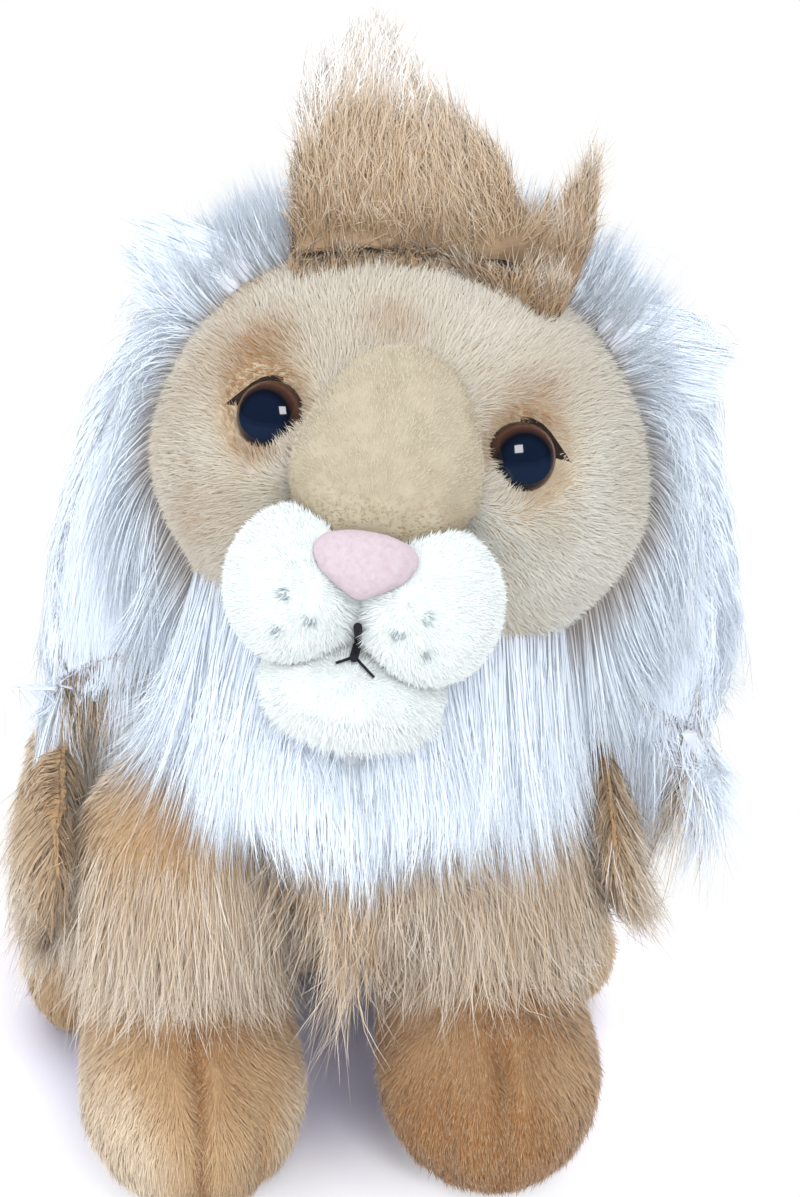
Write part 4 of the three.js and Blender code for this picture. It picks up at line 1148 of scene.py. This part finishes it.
def softbox(name, place_mm, look_mm, size, power, color=(1, 1, 1)):
    lamp = bpy.data.lights.new(name, "AREA")
    lamp.shape = "RECTANGLE"
    lamp.size, lamp.size_y = size
    lamp.energy = power
    lamp.color = color
    piece = bpy.data.objects.new(name, lamp)
    bpy.context.scene.collection.objects.link(piece)
    piece.location = Vector(place_mm) * MM
    piece.rotation_euler = (Vector(place_mm) - Vector(look_mm)).to_track_quat("Z", "Y").to_euler()
    piece.visible_glossy = name == "key"


softbox("key", (60, -800, 620), (0, -30, 120), (0.3, 0.3), 4.0)
softbox("fill", (-650, -500, 300), (0, -30, 110), (0.8, 0.8), 3.4, (0.94, 0.97, 1))
softbox("top", (0, 100, 900), (0, 0, 100), (0.9, 0.9), 2.6)
softbox("rim", (500, 500, 450), (0, 0, 120), (0.6, 0.6), 3)

world = bpy.data.worlds.new("studio")
bpy.context.scene.world = world
world.use_nodes = True
tree = world.node_tree
seen = tree.nodes["Background"]
seen.inputs["Color"].default_value = (1, 1, 1, 1)
seen.inputs["Strength"].default_value = 1.0
glow = tree.nodes.new("ShaderNodeBackground")
glow.inputs["Color"].default_value = (0.93, 0.96, 1.0, 1)
glow.inputs["Strength"].default_value = 1.0
rays = tree.nodes.new("ShaderNodeLightPath")
blend = tree.nodes.new("ShaderNodeMixShader")
dim = tree.nodes.new("ShaderNodeBackground")
dim.inputs["Color"].default_value = (0.55, 0.75, 1.0, 1)
dim.inputs["Strength"].default_value = 0.09
mirror = tree.nodes.new("ShaderNodeMixShader")
tree.links.new(rays.outputs["Is Glossy Ray"], mirror.inputs[0])
tree.links.new(glow.outputs[0], mirror.inputs[1])
tree.links.new(dim.outputs[0], mirror.inputs[2])
tree.links.new(rays.outputs["Is Camera Ray"], blend.inputs[0])
tree.links.new(mirror.outputs[0], blend.inputs[1])
tree.links.new(seen.outputs[0], blend.inputs[2])
tree.links.new(blend.outputs[0], tree.nodes["World Output"].inputs["Surface"])

floor_mesh = bpy.data.meshes.new("floor")
floor_mesh.from_pydata([(-6, -6, 0), (6, -6, 0), (6, 6, 0), (-6, 6, 0)], [], [(0, 1, 2, 3)])
floor = bpy.data.objects.new("floor", floor_mesh)
bpy.context.scene.collection.objects.link(floor)
paper, paper_tree, paper_face = shader("paper", roughness=0.9, specular=0.0)
paper_tree.nodes.remove(paper_face)
sheet = paper_tree.nodes.new("ShaderNodeBsdfDiffuse")
shown = paper_tree.nodes.new("ShaderNodeLightPath")
tint = paper_tree.nodes.new("ShaderNodeMix")
tint.data_type = "RGBA"
tint.inputs[6].default_value = (0.85, 0.85, 0.85, 1)
# Glossy rays see the floor dark blue: a painted reflection, the blue low in the eyes.
painted_reflection_blue = paper_tree.nodes.new("ShaderNodeMix")
painted_reflection_blue.data_type = "RGBA"
painted_reflection_blue.inputs[7].default_value = (0.1, 0.17, 0.32, 1)
paper_tree.links.new(shown.outputs["Is Camera Ray"], tint.inputs["Factor"])
paper_tree.links.new(shown.outputs["Is Glossy Ray"], painted_reflection_blue.inputs["Factor"])
paper_tree.links.new(tint.outputs[2], painted_reflection_blue.inputs[6])
paper_tree.links.new(painted_reflection_blue.outputs[2], sheet.inputs["Color"])
spot = paper_tree.nodes.new("ShaderNodeTexCoord")
reach = paper_tree.nodes.new("ShaderNodeVectorMath")
reach.operation = "LENGTH"
centre = paper_tree.nodes.new("ShaderNodeVectorMath")
centre.operation = "ADD"
centre.inputs[1].default_value = (0.012, -0.005, 0)
paper_tree.links.new(spot.outputs["Object"], centre.inputs[0])
paper_tree.links.new(centre.outputs[0], reach.inputs[0])
fade = paper_tree.nodes.new("ShaderNodeMapRange")
fade.interpolation_type = "SMOOTHSTEP"
fade.inputs["From Min"].default_value = 0.055
fade.inputs["From Max"].default_value = 0.12
paper_tree.links.new(reach.outputs["Value"], fade.inputs["Value"])
# Camera rays see the floor dark lavender near the middle, under the belly: a painted shadow that fades into the open
# floor's white.
near = paper_tree.nodes.new("ShaderNodeMapRange")
near.interpolation_type = "SMOOTHSTEP"
near.inputs["From Min"].default_value = 0.04
near.inputs["From Max"].default_value = 0.08
paper_tree.links.new(reach.outputs["Value"], near.inputs["Value"])
floor_shadow_paint = paper_tree.nodes.new("ShaderNodeMix")
floor_shadow_paint.data_type = "RGBA"
floor_shadow_paint.inputs[6].default_value = (0.5, 0.49, 0.62, 1)
floor_shadow_paint.inputs[7].default_value = (1.05, 1.03, 1.15, 1)
paper_tree.links.new(near.outputs["Result"], floor_shadow_paint.inputs["Factor"])
paper_tree.links.new(floor_shadow_paint.outputs[2], tint.inputs[7])
seen_far = paper_tree.nodes.new("ShaderNodeMath")
seen_far.operation = "MULTIPLY"
paper_tree.links.new(fade.outputs["Result"], seen_far.inputs[0])
paper_tree.links.new(shown.outputs["Is Camera Ray"], seen_far.inputs[1])
white = paper_tree.nodes.new("ShaderNodeEmission")
both = paper_tree.nodes.new("ShaderNodeMixShader")
paper_tree.links.new(seen_far.outputs[0], both.inputs[0])
paper_tree.links.new(sheet.outputs[0], both.inputs[1])
paper_tree.links.new(white.outputs[0], both.inputs[2])
paper_tree.links.new(both.outputs[0], paper_tree.nodes["Material Output"].inputs["Surface"])
floor_mesh.materials.append(paper)

scene = bpy.context.scene
scene.view_settings.view_transform = "Standard"
